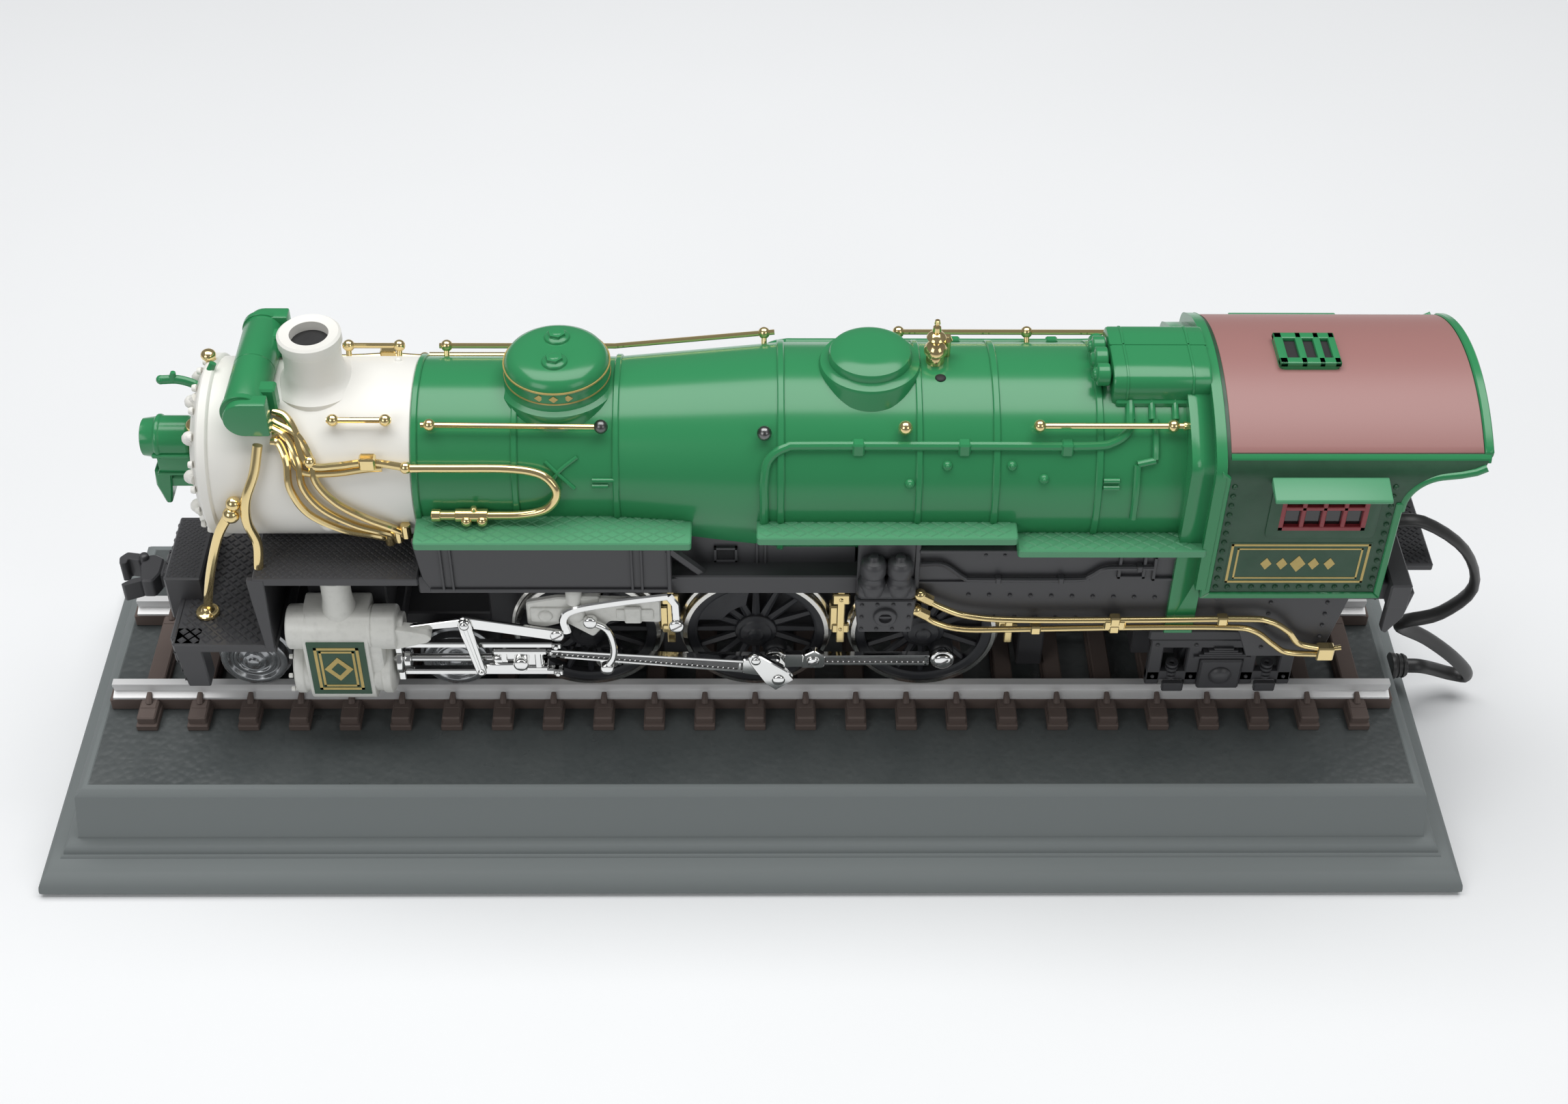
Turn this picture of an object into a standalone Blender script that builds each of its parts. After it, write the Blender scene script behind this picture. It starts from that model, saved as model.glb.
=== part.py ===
"""Steam locomotive on a display plinth, with a boiler and cab that lift off as a telephone handset.

+X runs from the smokebox to the cab, +Y to the far side, +Z up. The origin is the centre of the
plinth's underside. Every dimension below is in millimetres; MM turns them into Blender's metres.
"""
import math

import bmesh
import bpy
from mathutils import Matrix, Vector

MM = 0.001
GAP = 0.3
SIDES = {"near": -1, "far": 1}

# Plinth
BASE_LENGTH = 432.0
BASE_DEPTH = 137.2
BASE_TOP = 31.8
BASE_WALL = 2.6
BASE_TOP_HALF = (200.4, 53.0)
LEDGE_END = 207.5
LEDGE_HALF_DEPTH = 40.6

# Track
RAIL_Y = 18.3
RAIL_HALF_LENGTH = 196.7
RAIL_TOP = 41.3
SLEEPER_COUNT = 25
SLEEPER_PITCH = 15.5
SLEEPER_FIRST = -185.5
SLEEPER_HALF_LENGTH = 29.8
SLEEPER_WIDTH = 6.4
SLEEPER_TOP = 36.3
RAIL_FOOT = SLEEPER_TOP + GAP

# Running gear
DRIVER_RADIUS = 22.0
DRIVER_FLANGE = 23.2
DRIVER_SPACING = 50.4
DRIVER_MIDDLE = 0.7
DRIVER_AXLE_Z = RAIL_TOP + GAP + DRIVER_RADIUS
CRANK = (5.8, -6.9)
PILOT_RADIUS = 10.1
PILOT_X = (-151.5, -90.3)
TRAILING_RADIUS = 11.5
TRAILING_X = 141.0
WHEEL_BACK = 15.7
WHEEL_FACE = 19.6
AXLE_RADIUS = 2.4
SIDE_ROD_Y = (22.3, 24.3)
MAIN_ROD_Y = (25.6, 27.8)
RETURN_CRANK_Y = (29.6, 31.6)
CROSSHEAD = (-68.7, 64.0)
PISTON_ROD_RADIUS = 1.2
CYLINDER_Y = 30.0
CYLINDER_Z = 60.5
VALVE_CHEST_Z = 77.0
LEVER_TOP = (-84.0, 81.0)
LEVER_FOOT = (-80.5, 61.7)

# Boiler, smokebox and cab
BOILER_Z = 121.0
SMOKEBOX_FRONT = -155.0
SMOKEBOX_RADIUS = 25.6
SEAM_X = -95.4
TAPER_START = -39.0
FIREBOX_START = 7.5
FIREBOX_RADIUS = 29.8
BOILER_BACK = 128.0
BOILER_WALL = 2.2
HANDSET_FLOOR = 101.3
HANDSET_FLOOR_THICKNESS = 1.8
DECK_TOP = 97.0
PILOT_DECK_TOP = 72.0
UPPER_DECK_TOP = 99.0
CAB_HALF_WIDTH = 35.1
CAB_BOTTOM = 93.8
CAB_FLOOR = 97.3
CAB_TOP = 154.8
CAB_ARCH_RADIUS = 53.5
CAB_SHOULDER = 8.0
CAB_WALL = 2.2
ROOF_END = 202.0

# Handset cord, from the cab's gland down to the plinth's gland
CORD_RADIUS = 2.4
CORD_EXIT = (184.3, -12.0, 102.4)
CORD_ENTRY = (213.5, 12.0, 17.0)
CORD_ROUTE = (
    CORD_EXIT,
    (196.0, -12.0, 102.0),
    (211.0, -11.0, 90.0),
    (218.5, -7.5, 71.5),
    (212.0, -5.0, 58.0),
    (203.0, -2.5, 52.0),
    (203.5, 3.0, 44.5),
    (215.0, 8.0, 34.0),
    (227.0, 11.0, 22.0),
    (235.5, 14.5, 10.0),
    (231.0, 17.0, 8.0),
    (223.0, 14.5, 13.0),
    (217.5, 12.0, 16.8),
    CORD_ENTRY,
)

COLOURS = {
    "green": ((0.018, 0.118, 0.045), 0.25, 0.0),
    "ivory": ((0.62, 0.61, 0.55), 0.4, 0.0),
    "grey_plastic": ((0.50, 0.50, 0.46), 0.4, 0.0),
    "black": ((0.012, 0.013, 0.015), 0.45, 0.0),
    "plinth": ((0.045, 0.055, 0.056), 0.35, 0.0),
    "sleeper": ((0.028, 0.018, 0.015), 0.6, 0.0),
    "rail": ((0.60, 0.60, 0.60), 0.35, 0.8),
    "chrome": ((0.75, 0.75, 0.74), 0.12, 1.0),
    "gold": ((0.83, 0.62, 0.25), 0.15, 1.0),
    "maroon": ((0.13, 0.035, 0.032), 0.4, 0.0),
    "rubber": ((0.010, 0.010, 0.011), 0.5, 0.0),
    "board": ((0.03, 0.12, 0.06), 0.5, 0.0),
}


def start_scene():
    for item in list(bpy.data.objects):
        bpy.data.objects.remove(item, do_unlink=True)
    parts = bpy.data.collections.new("display_locomotive")
    cutters = bpy.data.collections.new("cutters")
    cutters.hide_render = True
    bpy.context.scene.collection.children.link(parts)
    bpy.context.scene.collection.children.link(cutters)
    return parts, cutters


PARTS, CUTTERS = start_scene()


def material(name):
    made = bpy.data.materials.get(name)
    if made:
        return made
    colour, roughness, metallic = COLOURS[name]
    made = bpy.data.materials.new(name)
    made.use_nodes = True
    shader = made.node_tree.nodes["Principled BSDF"]
    shader.inputs["Base Color"].default_value = (*colour, 1.0)
    shader.inputs["Roughness"].default_value = roughness
    shader.inputs["Metallic"].default_value = metallic
    return made


def place(name, data, at=(0, 0, 0), turn=(0, 0, 0)):
    obj = bpy.data.objects.new(name, data)
    obj.location = Vector(at) * MM
    obj.rotation_euler = turn
    PARTS.objects.link(obj)
    return obj


def finish(obj, slot):
    """Gives a part its material, and smooth shading on its round faces."""
    obj.data.materials.clear()
    obj.data.materials.append(material(slot))
    if obj.type == "MESH":
        obj.data.shade_smooth()
        obj.data.set_sharp_from_angle(angle=math.radians(35))
    return obj


def box(name, low, high):
    """A box between two corners, its origin at its centre."""
    mesh = bpy.data.meshes.new(name)
    shape = bmesh.new()
    bmesh.ops.create_cube(shape, size=MM)
    size = [b - a for a, b in zip(low, high)]
    bmesh.ops.scale(shape, vec=size, verts=shape.verts)
    shape.to_mesh(mesh)
    shape.free()
    return place(name, mesh, [(a + b) / 2 for a, b in zip(low, high)])


AXIS_TURNS = {
    "x": Matrix.Rotation(math.pi / 2, 4, "Y"),
    "y": Matrix.Rotation(-math.pi / 2, 4, "X"),
    "z": Matrix.Identity(4),
}


def rod(name, axis, centre, radius, length, sides=12, end_radius=None):
    """A cylinder or cone along an axis, with its origin at its centre."""
    mesh = bpy.data.meshes.new(name)
    shape = bmesh.new()
    bmesh.ops.create_cone(
        shape,
        cap_ends=True,
        segments=sides,
        radius1=radius * MM,
        radius2=(radius if end_radius is None else end_radius) * MM,
        depth=length * MM,
    )
    bmesh.ops.transform(shape, matrix=AXIS_TURNS[axis], verts=shape.verts)
    shape.to_mesh(mesh)
    shape.free()
    return place(name, mesh, centre)


def turned(name, axis, centre, profile, steps):
    """A solid of revolution. The profile's (radius, height) points run from its top to its bottom."""
    mesh = bpy.data.meshes.new(name)
    points = [(radius * MM, 0.0, height * MM) for radius, height in profile]
    edges = [(i, i + 1) for i in range(len(points) - 1)]
    mesh.from_pydata(points, edges, [])
    obj = place(name, mesh, centre, AXIS_TURNS[axis].to_euler())
    screw = obj.modifiers.new("turn", "SCREW")
    screw.steps = steps
    screw.render_steps = steps
    screw.use_merge_vertices = True
    screw.merge_threshold = 1e-6
    screw.use_smooth_shade = True
    return obj


def to_mesh(obj):
    """Swaps a curve for its mesh, so that it can be cut and joined."""
    bpy.context.view_layer.update()
    evaluated = obj.evaluated_get(bpy.context.evaluated_depsgraph_get())
    mesh = bpy.data.meshes.new_from_object(evaluated)
    shape = bmesh.new()
    shape.from_mesh(mesh)
    bmesh.ops.remove_doubles(shape, verts=shape.verts, dist=1e-6)
    bmesh.ops.recalc_face_normals(shape, faces=shape.faces)
    shape.to_mesh(mesh)
    shape.free()
    name = obj.name
    matrix = obj.matrix_world.copy()
    bpy.data.objects.remove(obj, do_unlink=True)
    solid = bpy.data.objects.new(name, mesh)
    solid.matrix_world = matrix
    PARTS.objects.link(solid)
    return solid


def outline(name, points, low, high, plane="xz"):
    """A flat outline, extruded from low to high across its plane: xz along Y, yz along X."""
    curve = bpy.data.curves.new(name, "CURVE")
    curve.dimensions = "2D"
    curve.fill_mode = "BOTH"
    curve.extrude = (high - low) / 2 * MM
    spline = curve.splines.new("POLY")
    spline.points.add(len(points) - 1)
    spline.use_cyclic_u = True
    for target, (u, v) in zip(spline.points, points):
        target.co = (u * MM, v * MM, 0.0, 1.0)
    middle = (low + high) / 2
    if plane == "xz":
        obj = place(name, curve, (0, middle, 0), (math.pi / 2, 0, 0))
    else:
        obj = place(name, curve, (middle, 0, 0), (math.pi / 2, 0, math.pi / 2))
    return to_mesh(obj)


def link(name, ends, radii, low, high, arc_steps=5):
    """A flat bar with a round eye at each end, in the xz plane."""
    (x0, z0), (x1, z1) = ends
    heading = math.atan2(z1 - z0, x1 - x0)
    points = []
    eyes = ((ends[1], radii[1], heading - math.pi / 2), (ends[0], radii[0], heading + math.pi / 2))
    for (x, z), radius, start in eyes:
        for i in range(arc_steps + 1):
            angle = start + math.pi * i / arc_steps
            points.append((x + radius * math.cos(angle), z + radius * math.sin(angle)))
    return outline(name, points, low, high)


def tube(name, points, radius, smooth_steps=0, resolution=1):
    """A round tube along its points, or along a smooth curve through them."""
    if smooth_steps:
        points = smooth_route(points, smooth_steps)
    curve = bpy.data.curves.new(name, "CURVE")
    curve.dimensions = "3D"
    curve.bevel_depth = radius * MM
    curve.bevel_resolution = resolution
    curve.use_fill_caps = True
    spline = curve.splines.new("POLY")
    spline.points.add(len(points) - 1)
    for target, point in zip(spline.points, points):
        target.co = (*(Vector(point) * MM), 1.0)
    return to_mesh(place(name, curve))


def smooth_route(points, steps):
    """Points along a Catmull-Rom curve through the given ones."""
    guide = [Vector(p) for p in points]
    padded = [2 * guide[0] - guide[1], *guide, 2 * guide[-1] - guide[-2]]
    route = []
    for before, start, end, after in zip(padded, padded[1:], padded[2:], padded[3:]):
        for i in range(steps):
            t = i / steps
            route.append(
                0.5
                * (
                    2 * start
                    + (end - before) * t
                    + (2 * before - 5 * start + 4 * end - after) * t**2
                    + (3 * start - before - 3 * end + after) * t**3
                )
            )
    route.append(guide[-1])
    return [tuple(p) for p in route]


def as_tool(obj):
    """Moves a helper out of the parts and hides it from the render."""
    PARTS.objects.unlink(obj)
    CUTTERS.objects.link(obj)
    obj.hide_render = True
    obj.display_type = "WIRE"
    return obj


def combine(target, tools, operation, solver="EXACT"):
    for tool in tools:
        modifier = target.modifiers.new(tool.name, "BOOLEAN")
        modifier.operation = operation
        modifier.solver = solver
        modifier.object = as_tool(tool)
    return target


def fuse(target, *tools):
    return combine(target, tools, "UNION")


def cut(target, *tools):
    return combine(target, tools, "DIFFERENCE")


def both(y_low, y_high, side):
    """The span between two distances from the centre plane, on one side of it."""
    return sorted((side * y_low, side * y_high))


def rounded(obj, width, segments=1):
    bevel = obj.modifiers.new("round", "BEVEL")
    bevel.width = width * MM
    bevel.segments = segments
    bevel.limit_method = "ANGLE"
    return obj


# ---------------------------------------------------------------- plinth and track


def stepped_solid(name, rings):
    """Rectangular rings of (z, half length, half depth), joined by sloping walls."""
    mesh = bpy.data.meshes.new(name)
    shape = bmesh.new()
    loops = []
    for z, half_length, half_depth in rings:
        corners = ((-1, -1), (1, -1), (1, 1), (-1, 1))
        places = [Vector((sx * half_length, sy * half_depth, z)) * MM for sx, sy in corners]
        loops.append([shape.verts.new(place) for place in places])
    for lower, upper in zip(loops, loops[1:]):
        for i in range(4):
            j = (i + 1) % 4
            shape.faces.new((lower[i], lower[j], upper[j], upper[i]))
    shape.faces.new(list(reversed(loops[0])))
    shape.faces.new(loops[-1])
    shape.to_mesh(mesh)
    shape.free()
    return place(name, mesh)


def base_shell():
    half_length = BASE_LENGTH / 2
    half_depth = BASE_DEPTH / 2
    top_length, top_depth = BASE_TOP_HALF
    outer = (
        (0.0, half_length, half_depth),
        (2.0, half_length, half_depth),
        (8.0, 210.1, half_depth - 8.05),
        (12.0, 206.0, half_depth - 12.1),
        (29.8, 202.4, half_depth - 13.8),
        (BASE_TOP, top_length, top_depth),
    )
    shell = stepped_solid("base_shell", outer)
    ledge = box("base_ledge", (190.0, -LEDGE_HALF_DEPTH, 4.0), (LEDGE_END, LEDGE_HALF_DEPTH, BASE_TOP))
    hollow = stepped_solid(
        "base_hollow",
        (
            (-5.0, half_length - 13.0, half_depth - 15.5),
            (BASE_TOP - BASE_WALL, top_length - 3.0, top_depth - 3.0),
        ),
    )
    jack_window = box("jack_window", (-147.9, 45.0, 13.6), (-136.1, 62.0, 22.0))
    fuse(shell, ledge)
    cut(shell, hollow, jack_window)
    return finish(shell, "plinth")


def base_cover():
    half_length = BASE_LENGTH / 2 - 15.0
    half_depth = BASE_DEPTH / 2 - 16.8
    cover = box("base_cover", (-half_length, -half_depth, 0.0), (half_length, half_depth, 2.0))
    return finish(cover, "black")


def base_inside():
    board = box("base_circuit_board", (60.0, -38.0, 6.0), (170.0, 38.0, 7.6))
    standoffs = [
        box(f"board_standoff_{i}", (x - 3, y - 3, 2.0 + GAP), (x + 3, y + 3, 6.5))
        for i, (x, y) in enumerate(((66, -32), (66, 32), (164, -32), (164, 32)))
    ]
    fuse(board, *standoffs)
    finish(board, "board")
    bell = ((0, 14.0), (9, 14.0), (9, 10.0), (20, 8.0), (20, 2.0 + GAP), (0, 2.0 + GAP))
    finish(turned("ringer", "z", (-60, 0, 0), bell, 20), "black")
    jack = box("line_jack", (-150.0, 36.0, 2.0 + GAP), (-134.0, 50.0, 24.0))
    cut(jack, box("line_jack_mouth", (-147.5, 40.0, 14.0), (-136.5, 52.0, 21.6)))
    finish(jack, "black")
    middle = (LEDGE_END + CORD_ENTRY[0]) / 2
    length = CORD_ENTRY[0] - LEDGE_END - 2 * GAP
    gland = rod("base_cord_gland", "x", (middle, *CORD_ENTRY[1:]), 4.2, length, 12, 3.4)
    finish(gland, "rubber")


def sleeper_bed():
    bed = box("sleeper_bed", (-198.1, -20.9, BASE_TOP + GAP), (198.1, -15.7, SLEEPER_TOP - 0.3))
    other = box("sleeper_stringer_far", (-198.1, 15.7, BASE_TOP + GAP), (198.1, 20.9, SLEEPER_TOP - 0.3))
    half = SLEEPER_WIDTH / 2
    sleepers = box(
        "sleepers",
        (SLEEPER_FIRST - half, -SLEEPER_HALF_LENGTH, BASE_TOP + GAP),
        (SLEEPER_FIRST + half, SLEEPER_HALF_LENGTH, SLEEPER_TOP),
    )
    row = sleepers.modifiers.new("row", "ARRAY")
    row.count = SLEEPER_COUNT
    row.use_relative_offset = False
    row.use_constant_offset = True
    row.constant_offset_displace = (SLEEPER_PITCH * MM, 0.0, 0.0)
    fuse(bed, other, sleepers)
    return finish(bed, "sleeper")


def rail(side_name, side):
    profile = (
        (-3.0, RAIL_FOOT),
        (3.0, RAIL_FOOT),
        (3.0, RAIL_FOOT + 0.7),
        (0.6, RAIL_FOOT + 1.5),
        (0.6, RAIL_TOP - 1.6),
        (1.25, RAIL_TOP - 1.2),
        (1.25, RAIL_TOP),
        (-1.25, RAIL_TOP),
        (-1.25, RAIL_TOP - 1.2),
        (-0.6, RAIL_TOP - 1.6),
        (-0.6, RAIL_FOOT + 1.5),
        (-3.0, RAIL_FOOT + 0.7),
    )
    points = [(side * RAIL_Y + y, z) for y, z in profile]
    made = outline(f"rail_{side_name}", points, -RAIL_HALF_LENGTH, RAIL_HALF_LENGTH, "yz")
    return finish(made, "rail")


# ---------------------------------------------------------------- chassis


def bars(prefix, boxes):
    return [box(f"{prefix}_{i}", low, high) for i, (low, high) in enumerate(boxes)]


def side_plate(side):
    """The black skirt under the rear running board and the cab."""
    points = (
        (46.5, 92.0),
        (60.0, 82.0),
        (78.0, 79.5),
        (142.0, 77.5),
        (146.0, 66.0),
        (168.0, 66.0),
        (173.0, 92.0),
        (184.0, 92.0),
        (184.0, DECK_TOP - 0.4),
        (127.0, DECK_TOP - 0.4),
        (127.0, 110.0),
        (46.5, 110.0),
    )
    low, high = both(29.6, 31.6, side)
    return outline(f"skirt_{side}", points, low, high)


def chassis():
    frame = box("chassis", (-96.4, -30.6, 90.0), (188.0, 30.6, DECK_TOP))
    low_frame = [
        ((-160.0, -9.0, 49.0), (-78.0, 9.0, 62.0)),
        ((-80.0, -10.0, 56.0), (120.0, 10.0, 91.0)),
        ((-138.0, -21.0, 62.0), (-105.0, 21.0, 69.0)),
        ((-131.0, -20.6, 68.0), (-108.0, 20.6, 97.4)),
        ((117.0, -9.0, 44.0), (165.0, 9.0, 67.0)),
        ((118.0, -25.0, 66.0), (164.0, 25.0, 70.0)),
        ((134.0, -12.0, 69.0), (150.0, 12.0, 91.0)),
        ((-28.0, -7.0, RAIL_FOOT), (-20.0, 7.0, 57.0)),
        ((82.0, -7.0, RAIL_FOOT), (90.0, 7.0, 57.0)),
    ]
    front = [
        ((-170.0, -33.0, 69.0), (-140.0, 33.0, PILOT_DECK_TOP)),
        ((-142.6, -32.6, 70.5), (-140.4, 32.6, 98.0)),
        ((-143.0, -33.2, 96.2), (-95.8, 33.2, UPPER_DECK_TOP)),
        ((-158.0, -8.0, 60.0), (-150.0, 8.0, 70.0)),
        ((-175.0, -13.8, 66.0), (-164.0, 13.8, 81.0)),
    ]
    rear = [
        ((182.3, -36.0, 80.0), (188.5, 36.0, 99.0)),
        ((187.0, -18.0, 88.0), (200.0, 18.0, 91.0)),
    ]
    sided = []
    for side in SIDES.values():
        y0, y1 = both(30.1, 32.1, side)
        sided.append(((-97.0, y0, 93.5), (-24.0, y1, 112.7)))
        y0, y1 = both(21.6, 25.0, side)
        sided.append(((119.0, y0, 46.0), (163.0, y1, 67.0)))
        y0, y1 = both(25.5, 32.5, side)
        sided.append(((-169.6, y0, 54.0), (-163.0, y1, 70.0)))
    fuse(frame, *bars("chassis_low", low_frame), *bars("chassis_front", front))
    fuse(frame, *bars("chassis_rear", rear), *bars("chassis_side", sided))
    combine(frame, [side_plate(side) for side in SIDES.values()], "UNION", "MANIFOLD")
    for x, z, radius in axle_places():
        cut(frame, rod(f"axle_way_{x:.0f}", "y", (x, 0, z), radius, 60, 12))
    cut(frame, rod("plunger_way", "z", (104, 0, 92), 3.0, 20, 12))
    return finish(frame, "black")


def axle_places():
    places = [(DRIVER_MIDDLE + i * DRIVER_SPACING, DRIVER_AXLE_Z, AXLE_RADIUS + 0.5) for i in (-1, 0, 1)]
    places += [(x, RAIL_TOP + GAP + PILOT_RADIUS, AXLE_RADIUS + 0.5) for x in PILOT_X]
    places.append((TRAILING_X, RAIL_TOP + GAP + TRAILING_RADIUS, AXLE_RADIUS + 0.5))
    return places


def air_pump():
    pump = rounded(box("air_pump", (31.0, -32.4, 80.0), (45.0, -31.0, 92.0)), 0.5)
    fuse(
        pump,
        box("pump_body", (30.0, -36.2, 92.0 - 12.0), (45.5, -32.2, 97.0)),
        rod("pump_cylinder_left", "z", (34.0, -34.5, 102.5), 3.6, 13, 12),
        rod("pump_cylinder_right", "z", (41.5, -34.5, 102.5), 3.6, 13, 12),
    )
    return finish(pump, "black")


def hook_plunger():
    profile = ((0, HANDSET_FLOOR - GAP), (2.2, HANDSET_FLOOR - GAP), (2.2, 88.5), (0, 88.5))
    return finish(turned("hook_plunger", "z", (104, 0, 0), profile, 12), "ivory")


# ---------------------------------------------------------------- running gear


def wheelset_profile(radius, flange, rim, hub, web):
    """One half of a wheelset, from the hub's face to the axle; the other half mirrors it."""
    half = [
        (0, WHEEL_FACE + 0.8),
        (hub, WHEEL_FACE + 0.8),
        (hub, web),
        (rim, web),
        (rim, WHEEL_FACE),
        (radius, WHEEL_FACE),
        (radius, WHEEL_BACK + 1.0),
        (flange, WHEEL_BACK + 0.7),
        (flange, WHEEL_BACK),
        (AXLE_RADIUS, WHEEL_BACK),
    ]
    return half + [(r, -h) for r, h in reversed(half)]


def driver(index):
    x = DRIVER_MIDDLE + (index - 2) * DRIVER_SPACING
    name = f"driver_axle_{index}"
    profile = wheelset_profile(DRIVER_RADIUS, DRIVER_FLANGE, 17.7, 6.3, WHEEL_FACE - 1.2)
    wheels = turned(name, "y", (x, 0, DRIVER_AXLE_Z), profile, 22)
    pin_x = x + CRANK[0]
    pin_z = DRIVER_AXLE_Z + CRANK[1]
    pin_end = RETURN_CRANK_Y[0] + 0.5 if index == 2 else SIDE_ROD_Y[1] + 0.5
    for side_name, side in SIDES.items():
        centre = side * (WHEEL_FACE - 1.5 + pin_end) / 2
        length = pin_end - WHEEL_FACE + 1.5
        fuse(wheels, rod(f"{name}_pin_{side_name}", "y", (pin_x, centre, pin_z), 1.8, length, 10))
        boss = rod(f"{name}_boss_{side_name}", "y", (pin_x, side * (WHEEL_FACE - 0.3), pin_z), 3.6, 2.6, 10)
        fuse(wheels, boss)
        if index == 2:
            low, high = both(*RETURN_CRANK_Y, side)
            ends = ((pin_x, pin_z), (x, DRIVER_AXLE_Z))
            fuse(wheels, link(f"return_crank_{side_name}", ends, (3.0, 2.4), low, high))
    return finish(wheels, "chrome")


def small_axle(name, x, radius):
    profile = wheelset_profile(radius, radius + 1.1, radius - 2.2, 2.8, WHEEL_FACE - 1.0)
    return finish(turned(name, "y", (x, 0, RAIL_TOP + GAP + radius), profile, 18), "chrome")


def crank_pin(x):
    return (x + CRANK[0], DRIVER_AXLE_Z + CRANK[1])


def side_rod(side_name, side):
    name = f"side_rod_{side_name}"
    low, high = both(*SIDE_ROD_Y, side)
    pins = [crank_pin(DRIVER_MIDDLE + i * DRIVER_SPACING) for i in (-1, 0, 1)]
    made = link(name, (pins[0], pins[2]), (3.2, 3.2), low, high, 5)
    middle = (low + high) / 2
    for i, (x, z) in enumerate(pins):
        cut(made, rod(f"{name}_eye_{i}", "y", (x, middle, z), 2.15, 6, 10))
    return finish(set_origin(made, (pins[1][0], middle, pins[1][1])), "chrome")


def set_origin(obj, point):
    """Moves a mesh object's origin without moving its shape."""
    target = Vector(point) * MM
    offset = obj.matrix_world.inverted() @ target
    obj.data.transform(Matrix.Translation(-offset))
    obj.matrix_world = obj.matrix_world @ Matrix.Translation(offset)
    return obj


def main_rod(side_name, side):
    name = f"main_rod_{side_name}"
    low, high = both(*MAIN_ROD_Y, side)
    pin = crank_pin(DRIVER_MIDDLE)
    made = link(name, ((CROSSHEAD[0], CROSSHEAD[1]), pin), (2.4, 3.4), low, high, 6)
    middle = (low + high) / 2
    cut(made, rod(f"{name}_eye", "y", (pin[0], middle, pin[1]), 2.15, 6, 12))
    return finish(set_origin(made, (pin[0], middle, pin[1])), "chrome")


def crosshead(side_name, side):
    name = f"crosshead_{side_name}"
    x, z = CROSSHEAD
    y0, y1 = both(28.3, 32.4, side)
    made = box(name, (x - 5.5, y0, 60.6), (x + 5.5, y1, 68.0))
    piston = rod(f"{name}_rod", "x", (x - 24.0, side * CYLINDER_Y, z), PISTON_ROD_RADIUS, 40, 8)
    low, high = both(31.6, 32.8, side)
    union = link(f"{name}_union", (LEVER_FOOT, (x, 62.0)), (1.6, 1.6), low, high, 4)
    pin = rod(f"{name}_pin", "y", (x, side * 32.9, z), 2.2, 1.6, 10)
    return finish(fuse(made, piston, union, pin), "chrome")


def combination_lever(side_name, side):
    low, high = both(33.15, 34.2, side)
    made = link(f"combination_lever_{side_name}", (LEVER_FOOT, LEVER_TOP), (1.6, 2.0), low, high, 4)
    return finish(set_origin(made, (LEVER_TOP[0], (low + high) / 2, LEVER_TOP[1])), "chrome")


def guide_bars(side_name, side):
    y0, y1 = both(27.0, 33.0, side)
    yoke = box(f"guide_bars_{side_name}", (-104.6, y0, 57.4), (-103.0, y1, 71.4))
    y0, y1 = both(28.8, 31.2, side)
    upper = box(f"guide_upper_{side_name}", (-104.0, y0, 69.0), (-58.0, y1, 71.0))
    lower = box(f"guide_lower_{side_name}", (-104.0, y0, 57.8), (-58.0, y1, 59.8))
    fuse(yoke, upper, lower)
    rod_way = rod(f"guide_yoke_way_{side_name}", "x", (-104, side * CYLINDER_Y, CROSSHEAD[1]), 1.8, 8, 8)
    return finish(cut(yoke, rod_way), "chrome")


def radius_rod(side_name, side):
    low, high = both(31.6, 32.85, side)
    rear = link(f"radius_rod_{side_name}", (LEVER_TOP, (-57.4, 75.7)), (2.0, 2.0), low, high, 4)
    front = link(f"valve_stem_{side_name}", ((-103.0, 78.2), LEVER_TOP), (1.0, 1.6), low, high, 4)
    return finish(fuse(rear, front), "chrome")


def motion_bracket(side_name, side):
    y0, y1 = both(28.6, 31.3, side)
    plate = (
        (-66.0, 78.0),
        (-61.0, 77.5),
        (-55.0, 79.0),
        (-47.0, 72.0),
        (-42.0, 79.5),
        (-27.0, 79.0),
        (-27.0, 88.0),
        (-57.0, 88.0),
        (-66.0, 87.0),
    )
    made = outline(f"motion_bracket_{side_name}", plate, y0, y1)
    hanger = box(f"bracket_hanger_{side_name}", (-52.0, y0, 86.0), (-45.0, y1, 90.0 - GAP))
    return finish(fuse(made, hanger), "grey_plastic")


def cylinder(side_name, side):
    """Cylinder, valve chest and the steam pipe that stands on them."""
    y = side * CYLINDER_Y
    made = rod(f"cylinder_{side_name}", "x", (-121.7, y, CYLINDER_Z), 8.9, 29.6, 20)
    chest = rod(f"valve_chest_{side_name}", "x", (-122.0, y, VALVE_CHEST_Z), 6.6, 34.0, 16)
    low, high = both(21.0 + GAP, 38.6, side)
    saddle = box(f"cylinder_saddle_{side_name}", (-131.0, low, 53.0), (-108.0, high, 68.0))
    low, high = both(21.0 + GAP, 35.0, side)
    web = box(f"cylinder_web_{side_name}", (-130.0, low, 66.0), (-109.0, high, 78.0))
    pipe = rod(f"steam_pipe_{side_name}", "z", (-119.0, side * 28.5, 88.6), 5.0, 14.0, 12)
    bore = rod(f"piston_way_{side_name}", "x", (-117.0, y, CROSSHEAD[1]), 1.8, 30.0, 8)
    fuse(made, chest, saddle, web, pipe)
    return finish(cut(made, bore), "grey_plastic")


# ---------------------------------------------------------------- smokebox end


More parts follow.
